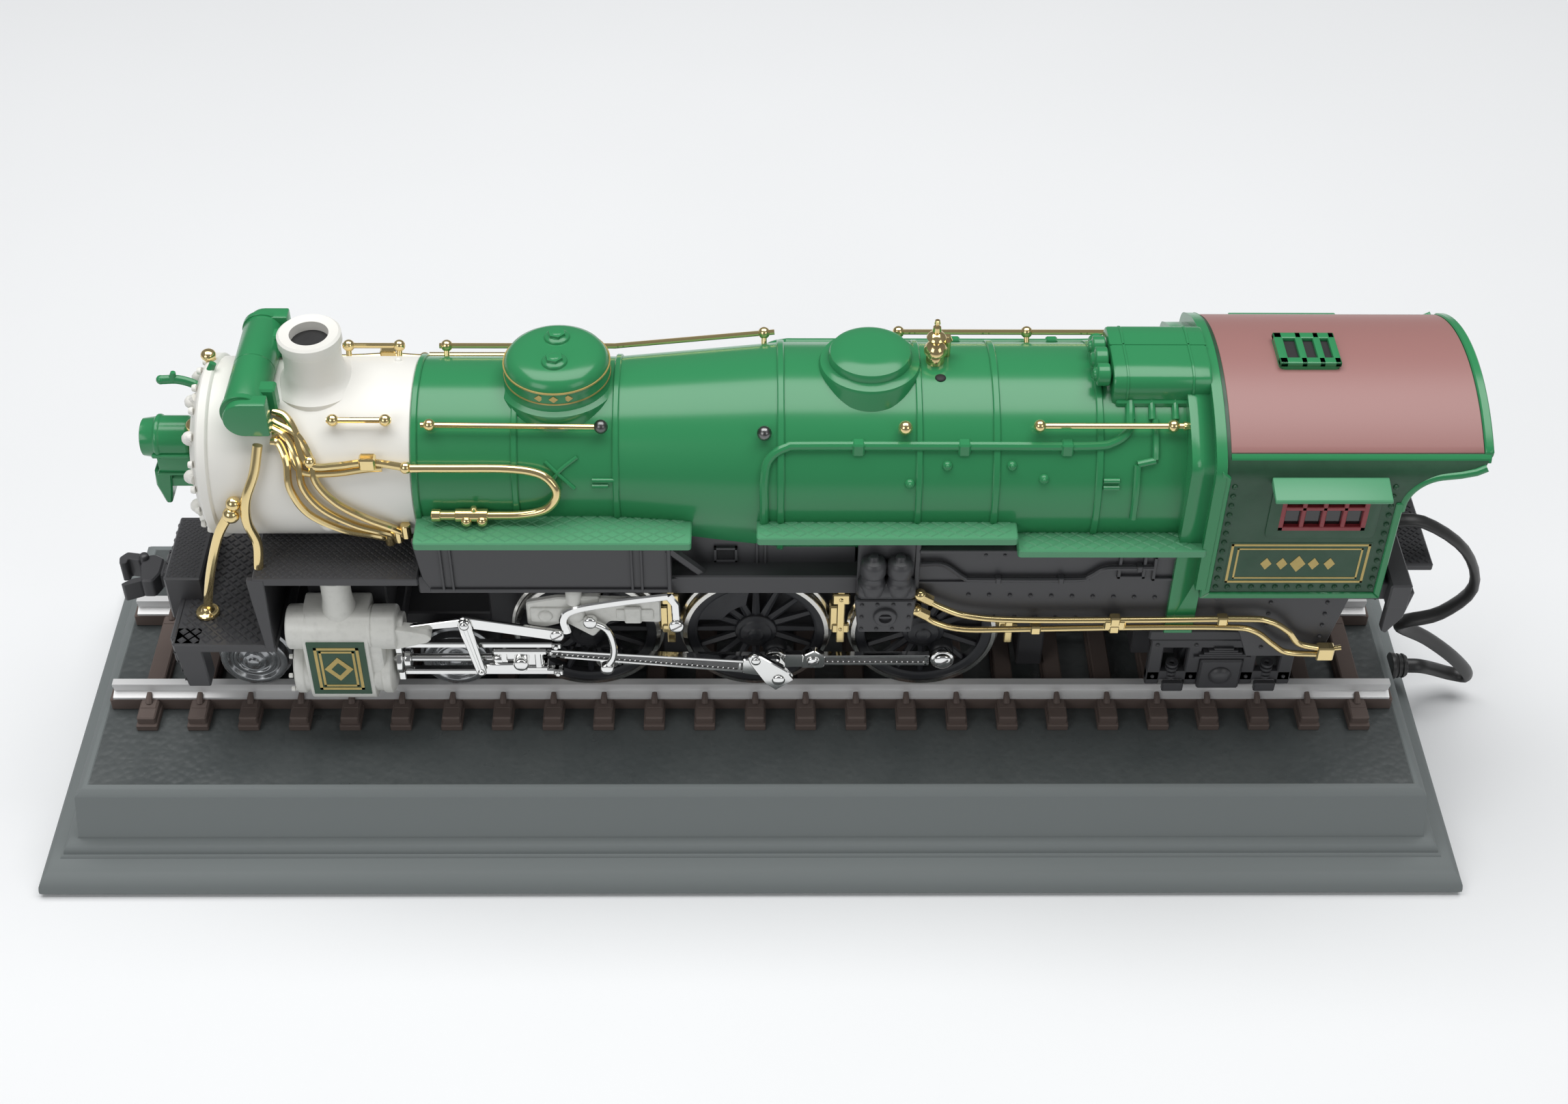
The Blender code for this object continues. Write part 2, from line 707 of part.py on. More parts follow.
def smokebox():
    front = -SMOKEBOX_FRONT
    profile = (
        (0, -SEAM_X - GAP / 2),
        (SMOKEBOX_RADIUS, -SEAM_X - GAP / 2),
        (SMOKEBOX_RADIUS, front - 2.5),
        (SMOKEBOX_RADIUS + 0.9, front - 2.5),
        (SMOKEBOX_RADIUS + 0.9, front),
        (SMOKEBOX_RADIUS - 2.0, front + 1.5),
        (0, front + 1.5),
    )
    upside = [(r, -h) for r, h in profile]
    made = turned("smokebox", "x", (0, 0, BOILER_Z), upside, 32)
    cut(made, box("smokebox_seat", (-144.0, -40, 60), (-60.0, 40, UPPER_DECK_TOP + GAP)))
    return finish(made, "ivory")


def boiler_envelope(name, grow):
    """The outside of smokebox and boiler, grown by a clearance, for seating what stands on it."""
    points = (
        (0, BOILER_BACK + 20),
        (FIREBOX_RADIUS + grow, BOILER_BACK + 20),
        (FIREBOX_RADIUS + grow, FIREBOX_START),
        (SMOKEBOX_RADIUS + grow, TAPER_START),
        (SMOKEBOX_RADIUS + grow, SMOKEBOX_FRONT - 20),
        (0, SMOKEBOX_FRONT - 20),
    )
    return turned(name, "x", (0, 0, BOILER_Z), points, 32)


def seated(obj):
    """Cuts a part's underside to the boiler it stands on."""
    return cut(obj, boiler_envelope(f"{obj.name}_seat", GAP))


def smokebox_door():
    profile = ((0, 2.8), (12, 2.6), (18, 1.8), (19.5, 1.0), (19.5, 0), (0, 0))
    door = turned("smokebox_door", "x", (SMOKEBOX_FRONT - 1.5 - GAP, 0, BOILER_Z), profile, 20)
    door.rotation_euler = (0, -math.pi / 2, 0)
    return finish(door, "ivory")


def stack():
    profile = (
        (0, 161.5),
        (8.85, 161.5),
        (8.85, 157.0),
        (8.2, 156.0),
        (8.4, 150.0),
        (11.5, 145.5),
        (11.5, 138.0),
        (0, 138.0),
    )
    made = turned("stack", "z", (-123.0, 0, 0), profile, 20)
    cut(made, rod("stack_bore", "z", (-123.0, 0, 158.5), 5.45, 10.0, 16))
    return finish(seated(made), "ivory")


def headlight():
    profile = ((0, 175.4), (6.2, 175.4), (6.4, 171.0), (6.4, 161.6), (0, 161.6))
    made = turned("headlight", "x", (0, 0, 124.0), profile, 16)
    made.rotation_euler = (0, -math.pi / 2, 0)
    foot = box("headlight_foot", (-173.2, -4.0, 102.0), (-169.2, 4.0, 120.0))
    tie = box("headlight_tie", (-171.0, -2.5, 107.5), (-159.8, 2.5, 111.0))
    return finish(fuse(made, foot, tie), "green")


def bell_arm():
    made = tube("bell_arm", ((-157.2, 0, 143.0), (-161.0, 0, 143.6), (-166.5, 0, 144.4)), 1.6)
    return finish(made, "green")


def feedwater_heater():
    made = rod("feedwater_heater", "y", (-140.0, 0, 148.3), 5.9, 43.0, 18)
    for side_name, side in SIDES.items():
        y0, y1 = both(17.5, 22.0, side)
        fuse(made, box(f"heater_bracket_{side_name}", (-145.6, y0, 142.2), (-134.0, y1, 149.5)))
    return finish(seated(made), "green")


def front_brace(side_name, side):
    foot = (-162.0, side * 19.5, PILOT_DECK_TOP + GAP + 0.6)
    points = ((-146.5, side * 27.6, 120.0), (-151.0, side * 27.0, 112.0), foot)
    return finish(tube(f"front_brace_{side_name}", points, 1.3), "gold")


def coupler():
    shank = box("coupler", (-186.0, -3.0, 66.5), (-175.0 - GAP, 3.0, 72.0))
    head = (
        (-186.5, -6.0),
        (-182.0, -7.5),
        (-180.0, -3.0),
        (-180.0, 4.5),
        (-192.5, 6.0),
        (-193.0, 3.5),
        (-187.0, 1.5),
    )
    jaw = outline("coupler_jaw", head, -3.8, 3.8)
    laid_flat = Matrix.Translation((0, 0, 69.5 * MM)) @ Matrix.Rotation(-math.pi / 2, 4, "X")
    jaw.matrix_world = laid_flat @ jaw.matrix_world
    return finish(fuse(shank, jaw), "black")


# ---------------------------------------------------------------- handset


def boiler_profile(grow, front, back):
    return (
        (0, back),
        (FIREBOX_RADIUS + grow, back),
        (FIREBOX_RADIUS + grow, FIREBOX_START),
        (SMOKEBOX_RADIUS + grow, TAPER_START),
        (SMOKEBOX_RADIUS + grow, front),
        (0, front),
    )


BOARDS = (
    # x from, x to, top z
    (-96.0, -17.4, 116.0),
    (0.9, 74.0, 118.0),
    (74.3, 127.5, 113.3),
)
BOARD_EDGE = 36.4
BOARD_THICKNESS = 3.0


def boiler_shell():
    front = SEAM_X + GAP / 2
    shell = turned("boiler_shell", "x", (0, 0, BOILER_Z), boiler_profile(0, front, BOILER_BACK - GAP), 32)
    boards = []
    for i, (x0, x1, top) in enumerate(BOARDS):
        low = (max(x0, front), -BOARD_EDGE, top - BOARD_THICKNESS)
        boards.append(box(f"running_board_{i}", low, (x1, BOARD_EDGE, top)))
    fuse(shell, *boards)
    bore = boiler_profile(-BOILER_WALL, SEAM_X + 3.0, BOILER_BACK + 10)
    inside = turned("boiler_inside", "x", (0, 0, BOILER_Z), bore, 32)
    below = box("boiler_below", (-110, -29.2, 60), (140, 29.2, HANDSET_FLOOR))
    cut(shell, inside, below)
    return finish(shell, "green")


def handset_floor():
    low = (SEAM_X + 3.5, -11.8, HANDSET_FLOOR)
    high = (BOILER_BACK - 1, 11.8, HANDSET_FLOOR + HANDSET_FLOOR_THICKNESS)
    return finish(box("handset_floor", low, high), "black")


def arch(inset, bottom, steps=12):
    """The cab's upright outline in the yz plane: walls, rounded shoulders and a flatter arch between them."""
    shoulder = CAB_SHOULDER - inset
    radius = CAB_ARCH_RADIUS - inset
    middle = CAB_HALF_WIDTH - CAB_SHOULDER
    centre = CAB_TOP - CAB_ARCH_RADIUS
    eaves = centre + math.sqrt((radius - shoulder) ** 2 - middle**2)
    turn = math.acos(middle / (radius - shoulder))
    half_width = CAB_HALF_WIDTH - inset
    points = [(-half_width, bottom), (half_width, bottom)]
    for side, start, end in ((1, 0.0, turn), (0, turn, math.pi - turn), (-1, math.pi - turn, math.pi)):
        count = steps if side == 0 else 4
        for i in range(count + (side != 1)):
            angle = start + (end - start) * i / count
            if side == 0 and i == count:
                continue
            if side == 0:
                points.append((radius * math.cos(angle), centre + radius * math.sin(angle)))
            else:
                points.append((side * middle + shoulder * math.cos(angle), eaves + shoulder * math.sin(angle)))
    return points


def roof_slice(name, inner, outer, x0, x1, half_width, steps=12):
    """A strip of roof between two distances outside the cab's own arch."""
    radius = CAB_ARCH_RADIUS
    centre = CAB_TOP - radius
    points = []
    for grow, turn in ((outer, 1), (inner, -1)):
        start = math.asin(half_width / (radius + grow))
        for i in range(steps + 1):
            angle = turn * (start - 2 * start * i / steps)
            points.append(((radius + grow) * math.sin(angle), centre + (radius + grow) * math.cos(angle)))
    return outline(name, points, x0, x1, "yz")


def cab_shell():
    walls = arch(0.0, CAB_BOTTOM)
    shell = outline("cab_shell", walls, BOILER_BACK, ROOF_END, "yz")
    room = arch(CAB_WALL, CAB_BOTTOM - 10)
    inside = outline("cab_inside", room, BOILER_BACK + CAB_WALL, ROOF_END + 10, "yz")
    opening = [
        (179.6, CAB_BOTTOM - 5),
        (179.6, 130.6),
        (180.0, 134.3),
        (182.6, 137.4),
        (189.9, 139.0),
        (210.0, 141.0),
        (215.0, 141.0),
        (215.0, CAB_BOTTOM - 5),
    ]
    rear = outline("cab_rear_opening", opening, -60, 60)
    doorway = rod("cab_front_way", "x", (BOILER_BACK, 0, BOILER_Z + 2), 22, 10, 20)
    footing = box("cab_footing", (BOILER_BACK - 5, -32.4, CAB_BOTTOM - 5), (BOILER_BACK + 5, 32.4, CAB_FLOOR))
    cut(shell, inside, rear, doorway, footing)
    for side_name, side in SIDES.items():
        y0, y1 = both(CAB_HALF_WIDTH - 0.5, CAB_HALF_WIDTH + 7.0, side)
        fuse(shell, box(f"awning_{side_name}", (142.0, y0, 136.2), (174.0, y1, 138.2)))
    finish(shell, "green")
    panel = roof_slice("roof_panel", GAP, 1.2, BOILER_BACK + 3.0, ROOF_END - 3.0, 31.5)
    hatch = box("roof_hatch", (146.0, -7.0, CAB_TOP + 0.4), (163.3, 7.0, CAB_TOP + 2.4))
    fuse(panel, hatch)
    finish(panel, "maroon")


def dome(name, x, profile, steps=20):
    return finish(seated(turned(name, "z", (x, 0, 0), profile, steps)), "green")


def domes():
    sand_dome = (
        (0, 155.6),
        (11.5, 155.6),
        (14.0, 154.2),
        (14.85, 152.0),
        (14.85, 146.5),
        (16.6, 144.5),
        (16.6, 136),
        (0, 136),
    )
    dome("sand_dome", -55.1, sand_dome)
    steam_dome = (
        (0, 156.6),
        (9.5, 156.3),
        (11.75, 154.9),
        (11.75, 153.2),
        (14.3, 152.0),
        (14.3, 146),
        (0, 146),
    )
    dome("steam_dome", 32.6, steam_dome)


def turret_box():
    made = rounded(box("turret_box", (99.5, -12.5, 146.0), (126.8, 12.5, 157.0)), 2.0, 2)
    cap = turned("turret_turbine", "y", (96.5, 0, 155.0), ((0, 5.5), (4, 5.5), (4, -5.5), (0, -5.5)), 14)
    return finish(seated(fuse(made, cap)), "green")


def safety_valve():
    profile = (
        (0, 165.0),
        (1.6, 164.4),
        (1.6, 160.0),
        (2.8, 159.0),
        (2.8, 156.5),
        (2.0, 156.0),
        (2.0, 148.0),
        (0, 148.0),
    )
    return finish(seated(turned("safety_valve", "z", (51.0, 0, 0), profile, 10)), "gold")


def handset_inside():
    shelf = HANDSET_FLOOR + HANDSET_FLOOR_THICKNESS + GAP
    for name, x, radius, height in (("earpiece", -76.0, 12, 9), ("microphone", 112.0, 5, 6)):
        profile = ((0, shelf + height), (radius, shelf + height), (radius, shelf), (0, shelf))
        finish(turned(f"{name}_capsule", "z", (x, 0, 0), profile, 14), "black")
    board = box("handset_circuit_board", (-58.0, -11.0, shelf), (96.0, 11.0, shelf + 1.6))
    finish(board, "board")
    half_width = CAB_HALF_WIDTH - CAB_WALL - GAP
    floor_top = CAB_FLOOR + 2.0
    finish(box("cab_floor", (131.0, -half_width, CAB_FLOOR), (179.4, half_width, floor_top)), "black")
    x, y, z = CORD_EXIT
    relief = box("handset_cord_gland", (174.0, y - 4, floor_top + GAP), (x - GAP, y + 4, z + 3.2))
    finish(relief, "rubber")


def handrails(side_name, side):
    """A rail on two knobs along the boiler, longer on the far side."""
    start = (-89.5, side * 18.4, 144.0)
    end = (-43.0, side * 18.4, 144.0) if side < 0 else (8.0, side * 21.5, 147.5)
    front = tube(f"handrail_boiler_{side_name}", (start, end), 1.0)
    rear_knob = (-45.0, 17.0, 142.0) if side < 0 else (6.0, 20.0, 145.5)
    for i, (x, y, z) in enumerate(((-88.0, 17.0, 142.0), rear_knob)):
        tool = bpy.data.meshes.new(f"knob_{side_name}_{i}")
        shape = bmesh.new()
        bmesh.ops.create_uvsphere(shape, u_segments=8, v_segments=6, radius=2.2 * MM)
        shape.to_mesh(tool)
        shape.free()
        fuse(front, place(f"knob_{side_name}_{i}", tool, (x, side * (y + 0.9), z + 1.4)))
    finish(seated(front), "gold")


def injector_pipe():
    points = (
        (49.5, -34.0, 92.0),
        (60.0, -34.2, 85.5),
        (85.0, -34.4, 82.0),
        (120.0, -34.4, 83.5),
        (148.0, -34.4, 85.0),
        (158.0, -34.4, 80.0),
        (162.0, -34.4, 73.0),
        (170.0, -34.4, 71.0),
    )
    return finish(tube("injector_pipe", points, 1.8), "gold")


def handset_cord():
    return finish(tube("handset_cord", CORD_ROUTE, CORD_RADIUS, smooth_steps=4, resolution=2), "rubber")


def build():
    base_shell()
    base_cover()
    base_inside()
    sleeper_bed()
    chassis()
    air_pump()
    hook_plunger()
    for index in (1, 2, 3):
        driver(index)
    for i, x in enumerate(PILOT_X, 1):
        small_axle(f"pilot_axle_{i}", x, PILOT_RADIUS)
    small_axle("trailing_axle", TRAILING_X, TRAILING_RADIUS)
    for side_name, side in SIDES.items():
        rail(side_name, side)
        side_rod(side_name, side)
        main_rod(side_name, side)
        crosshead(side_name, side)
        combination_lever(side_name, side)
        guide_bars(side_name, side)
        radius_rod(side_name, side)
        motion_bracket(side_name, side)
        cylinder(side_name, side)
        front_brace(side_name, side)
        handrails(side_name, side)
    smokebox()
    smokebox_door()
    stack()
    headlight()
    bell_arm()
    feedwater_heater()
    coupler()
    boiler_shell()
    handset_floor()
    handset_inside()
    cab_shell()
    domes()
    turret_box()
    safety_valve()
    injector_pipe()
    handset_cord()


build()
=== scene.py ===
"""Display locomotive on a plinth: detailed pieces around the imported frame.

+X runs from the smokebox to the cab, +Y to the far side, +Z up. Sizes are in millimetres until a
Shape becomes a piece, and a sided Shape counts Y outwards from the centre plane.
"""
import math

import bmesh
import bpy
from mathutils import Matrix, Vector


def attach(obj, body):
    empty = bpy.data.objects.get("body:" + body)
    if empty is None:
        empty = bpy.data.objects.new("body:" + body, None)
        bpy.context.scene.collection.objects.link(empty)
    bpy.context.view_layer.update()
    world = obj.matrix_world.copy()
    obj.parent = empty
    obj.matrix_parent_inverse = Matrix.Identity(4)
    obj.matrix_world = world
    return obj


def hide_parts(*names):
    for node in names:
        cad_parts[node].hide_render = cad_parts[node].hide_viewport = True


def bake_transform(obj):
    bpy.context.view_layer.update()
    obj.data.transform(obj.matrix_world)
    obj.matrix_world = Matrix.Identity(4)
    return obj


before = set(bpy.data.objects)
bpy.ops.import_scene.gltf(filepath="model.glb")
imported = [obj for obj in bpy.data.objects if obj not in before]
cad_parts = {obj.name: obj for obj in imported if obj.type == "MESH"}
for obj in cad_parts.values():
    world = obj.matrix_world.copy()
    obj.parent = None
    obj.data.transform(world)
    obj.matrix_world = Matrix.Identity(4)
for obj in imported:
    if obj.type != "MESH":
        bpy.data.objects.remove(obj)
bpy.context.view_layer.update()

MM = 0.001
SIDES = {"near": -1, "far": 1}

# Camera: metres, degrees of yaw, pitch and roll, millimetres
CAMERA_PLACE = (0.0007, -0.4911, 0.5368)
CAMERA_TURN = (0.991, 43.0, 0.70)
CAMERA_LENS = 50.96

# Plinth and track
BASE_HALF = (216.0, 68.6)
BASE_TOP = 31.8
LEDGE = (207.5, 40.6)
RAIL_Y = 18.3
RAIL_TOP = 41.3
SLEEPER_COUNT = 25
SLEEPER_PITCH = 15.5
SLEEPER_FIRST = -185.5
SLEEPER_TOP = 36.3
SLEEPER_HALF = 29.8

# Running gear
DRIVER_MIDDLE = 0.7
DRIVER_SPACING = 50.4
AXLE_Z = 63.6
CRANK = (5.8, -6.9)
PIN = (DRIVER_MIDDLE + CRANK[0], AXLE_Z + CRANK[1])
PILOT_X = (-151.5, -90.3)
PILOT_RADIUS = 10.1
TRAILING_X = 141.0
TRAILING_RADIUS = 11.5
WHEEL_BACK = 15.7
CROSSHEAD = (-68.7, 64.0)
CYLINDER_Y = 30.0
CYLINDER_Z = 60.5
CHEST_Z = 77.0
LEVER_TOP = (-84.0, 81.0)
LEVER_FOOT = (-80.5, 61.7)

# Boiler and cab
BOILER_Z = 121.0
SMOKEBOX_FRONT = -155.0
SMOKEBOX_RADIUS = 25.6
SEAM = -95.4
TAPER_START = -39.0
FIREBOX_START = 7.5
FIREBOX_RADIUS = 29.8
BOILER_BACK = 128.0
HANDSET_FLOOR = 101.3
DECK_TOP = 97.0
CAB_HALF = 35.1
CAB_BOTTOM = 93.8
CAB_FLOOR = 97.3
CAB_TOP = 154.8
CAB_ARCH_RADIUS = 53.5
CAB_SHOULDER = 8.0
CAB_WALL = 2.2
ROOF_END = 202.0
HEATER = (-140.0, 148.3)
HEADLIGHT_Z = 124.0
STACK_X = -123.0
SAND_DOME_X = -55.1
STEAM_DOME_X = 32.6
PLUNGER_X = 104.0
BOARDS = ((-95.2, -17.4, 116.0), (0.9, 74.0, 118.0), (74.3, 127.5, 113.3))
BOARD_EDGE = 36.4
BOARD_INNER = 22.0
BOARD_THICKNESS = 3.0
BANDS = ((-94.4, 0.9), (-66.6, 0.9), (-38.4, 0.9), (7.6, 1.0), (46.0, 0.9), (67.4, 1.0), (96.0, 1.0),
         (126.6, 1.2))

# Handset cord
CORD_WIDTH = 4.8
CORD_THICKNESS = 3.0
CORD_EXIT = (184.3, -12.0, 102.4)
CORD_ENTRY = (213.5, 12.0, 17.0)
CORD_ROUTE = (
    CORD_EXIT,
    (196.0, -12.0, 102.0),
    (211.0, -11.0, 90.0),
    (218.5, -7.5, 71.5),
    (212.0, -5.0, 58.0),
    (203.0, -2.5, 52.0),
    (203.5, 3.0, 44.5),
    (215.0, 8.0, 34.0),
    (227.0, 11.0, 22.0),
    (235.5, 14.5, 10.0),
    (231.0, 17.0, 8.0),
    (223.0, 14.5, 13.0),
    (217.5, 12.0, 16.8),
    CORD_ENTRY,
)


# ---------------------------------------------------------------- materials

PAINTS = {
    # colour, second colour, roughness, metallic, coat, bump strength, bump size in mm, dust
    "green": ((0.003, 0.058, 0.015), (0.002, 0.046, 0.011), 0.24, 0, 0.4, 0.05, 1.2, 0.03),
    "green_flat": ((0.014, 0.072, 0.032), (0.010, 0.056, 0.024), 0.42, 0, 0.1, 0.08, 0.8, 0.03),
    "board": ((0.015, 0.118, 0.040), (0.010, 0.094, 0.031), 0.40, 0, 0.1, 0.06, 0.7, 0.05),
    "ivory": ((0.78, 0.77, 0.67), (0.71, 0.69, 0.58), 0.40, 0, 0.15, 0.05, 1.5, 0.0),
    "grey": ((0.70, 0.70, 0.66), (0.63, 0.63, 0.59), 0.38, 0, 0.15, 0.05, 1.2, 0.0),
    "black": ((0.010, 0.011, 0.014), (0.006, 0.007, 0.009), 0.36, 0, 0.1, 0.08, 0.8, 0.02),
    "matt_black": ((0.010, 0.010, 0.012), (0.006, 0.006, 0.007), 0.6, 0, 0.0, 0.15, 0.7, 0.03),
    "wheel_black": ((0.020, 0.021, 0.025), (0.013, 0.014, 0.017), 0.42, 0, 0.0, 0.06, 0.9, 0.05),
    "plinth": ((0.018, 0.025, 0.027), (0.014, 0.020, 0.022), 0.22, 0, 0.3, 0.03, 1.5, 0.01),
    # The plinth top paint: the plinth's own plastic with its colour lifted about fourfold, as painted
    # highlight for the shine of the pebbled top.
    "plinth_top_painted_highlight": ((0.082, 0.092, 0.092), (0.066, 0.076, 0.077), 0.34, 0, 0.1, 0.03, 1.5, 0.01),
    "sleeper": ((0.015, 0.010, 0.010), (0.008, 0.006, 0.006), 0.5, 0, 0.0, 0.3, 0.8, 0.02),
    "rail": ((0.62, 0.62, 0.62), (0.52, 0.52, 0.53), 0.33, 0.85, 0, 0.06, 0.8, 0.0),
    "steel": ((0.70, 0.69, 0.66), (0.60, 0.59, 0.56), 0.2, 1, 0, 0.04, 0.8, 0.0),
    "clear_wheel": ((0.42, 0.43, 0.44), (0.30, 0.31, 0.32), 0.16, 0.75, 0.3, 0.03, 0.8, 0.0),
    "chrome": ((0.86, 0.85, 0.83), (0.76, 0.75, 0.73), 0.09, 1, 0, 0.04, 1.0, 0.0),
    # The dark chrome paint: painted shade on the slots of screw and pin heads and in the sunk webs of the
    # rods, and the colour of two knobs on the near boiler rail.
    "dark_chrome_and_painted_shade": ((0.26, 0.26, 0.26), (0.15, 0.15, 0.15), 0.3, 1, 0, 0.1, 0.6, 0.0),
    "gold": ((0.90, 0.68, 0.30), (0.82, 0.58, 0.22), 0.1, 1, 0, 0.04, 1.0, 0.0),
    "gold_print": ((0.55, 0.42, 0.15), (0.44, 0.33, 0.11), 0.35, 0.4, 0, 0.04, 0.5, 0.0),
    "maroon": ((0.105, 0.027, 0.023), (0.085, 0.021, 0.018), 0.5, 0, 0.0, 0.06, 0.9, 0.01),
    "red": ((0.26, 0.022, 0.030), (0.19, 0.016, 0.022), 0.35, 0, 0.2, 0.04, 0.8, 0.0),
    "pane": ((0.010, 0.010, 0.011), (0.006, 0.006, 0.007), 0.12, 0, 0.5, 0.02, 2.0, 0.0),
    "rubber": ((0.011, 0.011, 0.012), (0.007, 0.007, 0.008), 0.38, 0, 0.1, 0.05, 0.9, 0.04),
    "circuit": ((0.020, 0.110, 0.050), (0.012, 0.070, 0.030), 0.45, 0, 0.2, 0.05, 2.0, 0.0),
    "copper": ((0.75, 0.40, 0.24), (0.60, 0.30, 0.16), 0.25, 1, 0, 0.05, 1.0, 0.0),
}


def noise(nodes, links, coordinates, size, detail=3.0):
    """Noise whose features are about this many millimetres across."""
    node = nodes.new("ShaderNodeTexNoise")
    node.inputs["Scale"].default_value = 1 / (size * MM)
    node.inputs["Detail"].default_value = detail
    links.new(coordinates, node.inputs["Vector"])
    return node.outputs["Fac"]


def remap(nodes, links, value, low, high, source=(0.3, 0.7)):
    """A value moved from one range to another."""
    node = nodes.new("ShaderNodeMapRange")
    node.inputs["From Min"].default_value = source[0]
    node.inputs["From Max"].default_value = source[1]
    node.inputs["To Min"].default_value = low
    node.inputs["To Max"].default_value = high
    links.new(value, node.inputs["Value"])
    return node.outputs["Result"]


def mixed(nodes, links, factor, first, second):
    """Two colours mixed by a factor; each colour is a value or another node's output."""
    node = nodes.new("ShaderNodeMix")
    node.data_type = "RGBA"
    links.new(factor, node.inputs["Factor"])
    for name, colour in (("A", first), ("B", second)):
        socket = next(s for s in node.inputs if s.name == name and s.type == "RGBA")
        if isinstance(colour, tuple):
            socket.default_value = (*colour, 1)
        else:
            links.new(colour, socket)
    return next(s for s in node.outputs if s.type == "RGBA")


def bumped(nodes, links, height, strength, distance, normal=None):
    """A normal bent by a height."""
    node = nodes.new("ShaderNodeBump")
    node.inputs["Strength"].default_value = strength
    node.inputs["Distance"].default_value = distance * MM
    links.new(height, node.inputs["Height"])
    if normal is not None:
        links.new(normal, node.inputs["Normal"])
    return node.outputs["Normal"]


def material(paint):
    """A procedural finish: two mottled tones, uneven gloss, fine surface relief and dust on top."""
    made = bpy.data.materials.get(paint)
    if made:
        return made
    first, second, roughness, metallic, coat, relief, size, dust = PAINTS[paint]
    made = bpy.data.materials.new(paint)
    made.use_nodes = True
    nodes, links = made.node_tree.nodes, made.node_tree.links
    shader = nodes["Principled BSDF"]
    coordinates = nodes.new("ShaderNodeTexCoord").outputs["Object"]
    tone = remap(nodes, links, noise(nodes, links, coordinates, 26.0), 0, 1)
    colour = mixed(nodes, links, tone, first, second)
    speck = noise(nodes, links, coordinates, 2.2, 6.0)
    shade = remap(nodes, links, speck, 0.0, 0.35, (0.5, 0.8))
    colour = mixed(nodes, links, shade, colour, tuple(channel * 0.7 for channel in second))
    if dust:
        up = nodes.new("ShaderNodeSeparateXYZ")
        links.new(nodes.new("ShaderNodeNewGeometry").outputs["Normal"], up.inputs[0])
        facing = remap(nodes, links, up.outputs["Z"], 0, dust, (0.5, 1.0))
        patchy = nodes.new("ShaderNodeMath")
        patchy.operation = "MULTIPLY"
        links.new(facing, patchy.inputs[0])
        links.new(noise(nodes, links, coordinates, 7.0, 5.0), patchy.inputs[1])
        colour = mixed(nodes, links, patchy.outputs[0], colour, (0.45, 0.43, 0.38))
    links.new(colour, shader.inputs["Base Color"])
    uneven = noise(nodes, links, coordinates, 9.0, 4.0)
    links.new(remap(nodes, links, uneven, roughness * 0.8, roughness * 1.3), shader.inputs["Roughness"])
    shader.inputs["Metallic"].default_value = metallic
    shader.inputs["Coat Weight"].default_value = coat
    shader.inputs["Coat Roughness"].default_value = 0.12
    normal = bumped(nodes, links, noise(nodes, links, coordinates, size, 2.0), relief, 0.25)
    if paint == "plinth_top_painted_highlight":
        normal = pebbles(nodes, links, coordinates, normal)
    if paint == "sleeper":
        normal = wood_grain(nodes, links, coordinates, normal)
    links.new(normal, shader.inputs["Normal"])
    return made


def pebbles(nodes, links, coordinates, normal):
    """Leather-like raised cells, 2.3 mm across, pulled out of round by noise."""
    warp = nodes.new("ShaderNodeTexNoise")
    warp.inputs["Scale"].default_value = 1 / (3.5 * MM)
    links.new(coordinates, warp.inputs["Vector"])
    shift = nodes.new("ShaderNodeVectorMath")
    shift.operation = "MULTIPLY_ADD"
    shift.inputs[1].default_value = (0.9 * MM,) * 3
    links.new(warp.outputs["Color"], shift.inputs[0])
    links.new(coordinates, shift.inputs[2])
    cells = nodes.new("ShaderNodeTexVoronoi")
    cells.feature = "SMOOTH_F1"
    cells.inputs["Scale"].default_value = 1 / (2.3 * MM)
    cells.inputs["Smoothness"].default_value = 0.35
    links.new(shift.outputs["Vector"], cells.inputs["Vector"])
    height = remap(nodes, links, cells.outputs["Distance"], 1, 0, (0.15, 0.75))
    return bumped(nodes, links, height, 0.3, 0.3, normal)


def wood_grain(nodes, links, coordinates, normal):
    """Lines along the sleeper, across the track."""
    stretch = nodes.new("ShaderNodeVectorMath")
    stretch.operation = "MULTIPLY"
    stretch.inputs[1].default_value = (1.0, 0.12, 0.5)
    links.new(coordinates, stretch.inputs[0])
    lines = noise(nodes, links, stretch.outputs["Vector"], 1.1, 4.0)
    return bumped(nodes, links, lines, 0.8, 0.5, normal)


# ---------------------------------------------------------------- shapes


def arc(centre, radius, start, end, steps):
    """Points round a centre, with its angles in degrees."""
    points = []
    for i in range(steps + 1):
        angle = math.radians(start + (end - start) * i / steps)
        points.append((centre[0] + radius * math.cos(angle), centre[1] + radius * math.sin(angle)))
    return points


def rounded(points, radius, steps=4):
    """An outline with its corners rounded."""
    made = []
    count = len(points)
    for i in range(count):
        corner = Vector(points[i])
        before = Vector(points[i - 1]) - corner
        after = Vector(points[(i + 1) % count]) - corner
        reach = min(radius, before.length * 0.45, after.length * 0.45)
        start = corner + before.normalized() * reach
        end = corner + after.normalized() * reach
        for step in range(steps + 1):
            t = step / steps
            made.append(tuple(start * (1 - t) ** 2 + corner * 2 * t * (1 - t) + end * t * t))
    return made


def rectangle(u0, u1, v0, v1):
    """An upright rectangle, as an outline."""
    return [(u0, v0), (u1, v0), (u1, v1), (u0, v1)]


def link_outline(ends, radii, steps=8):
    """A bar with a round eye at each end."""
    (x0, z0), (x1, z1) = ends
    heading = math.degrees(math.atan2(z1 - z0, x1 - x0))
    points = arc(ends[1], radii[1], heading - 90, heading + 90, steps)
    return points + arc(ends[0], radii[0], heading + 90, heading + 270, steps)


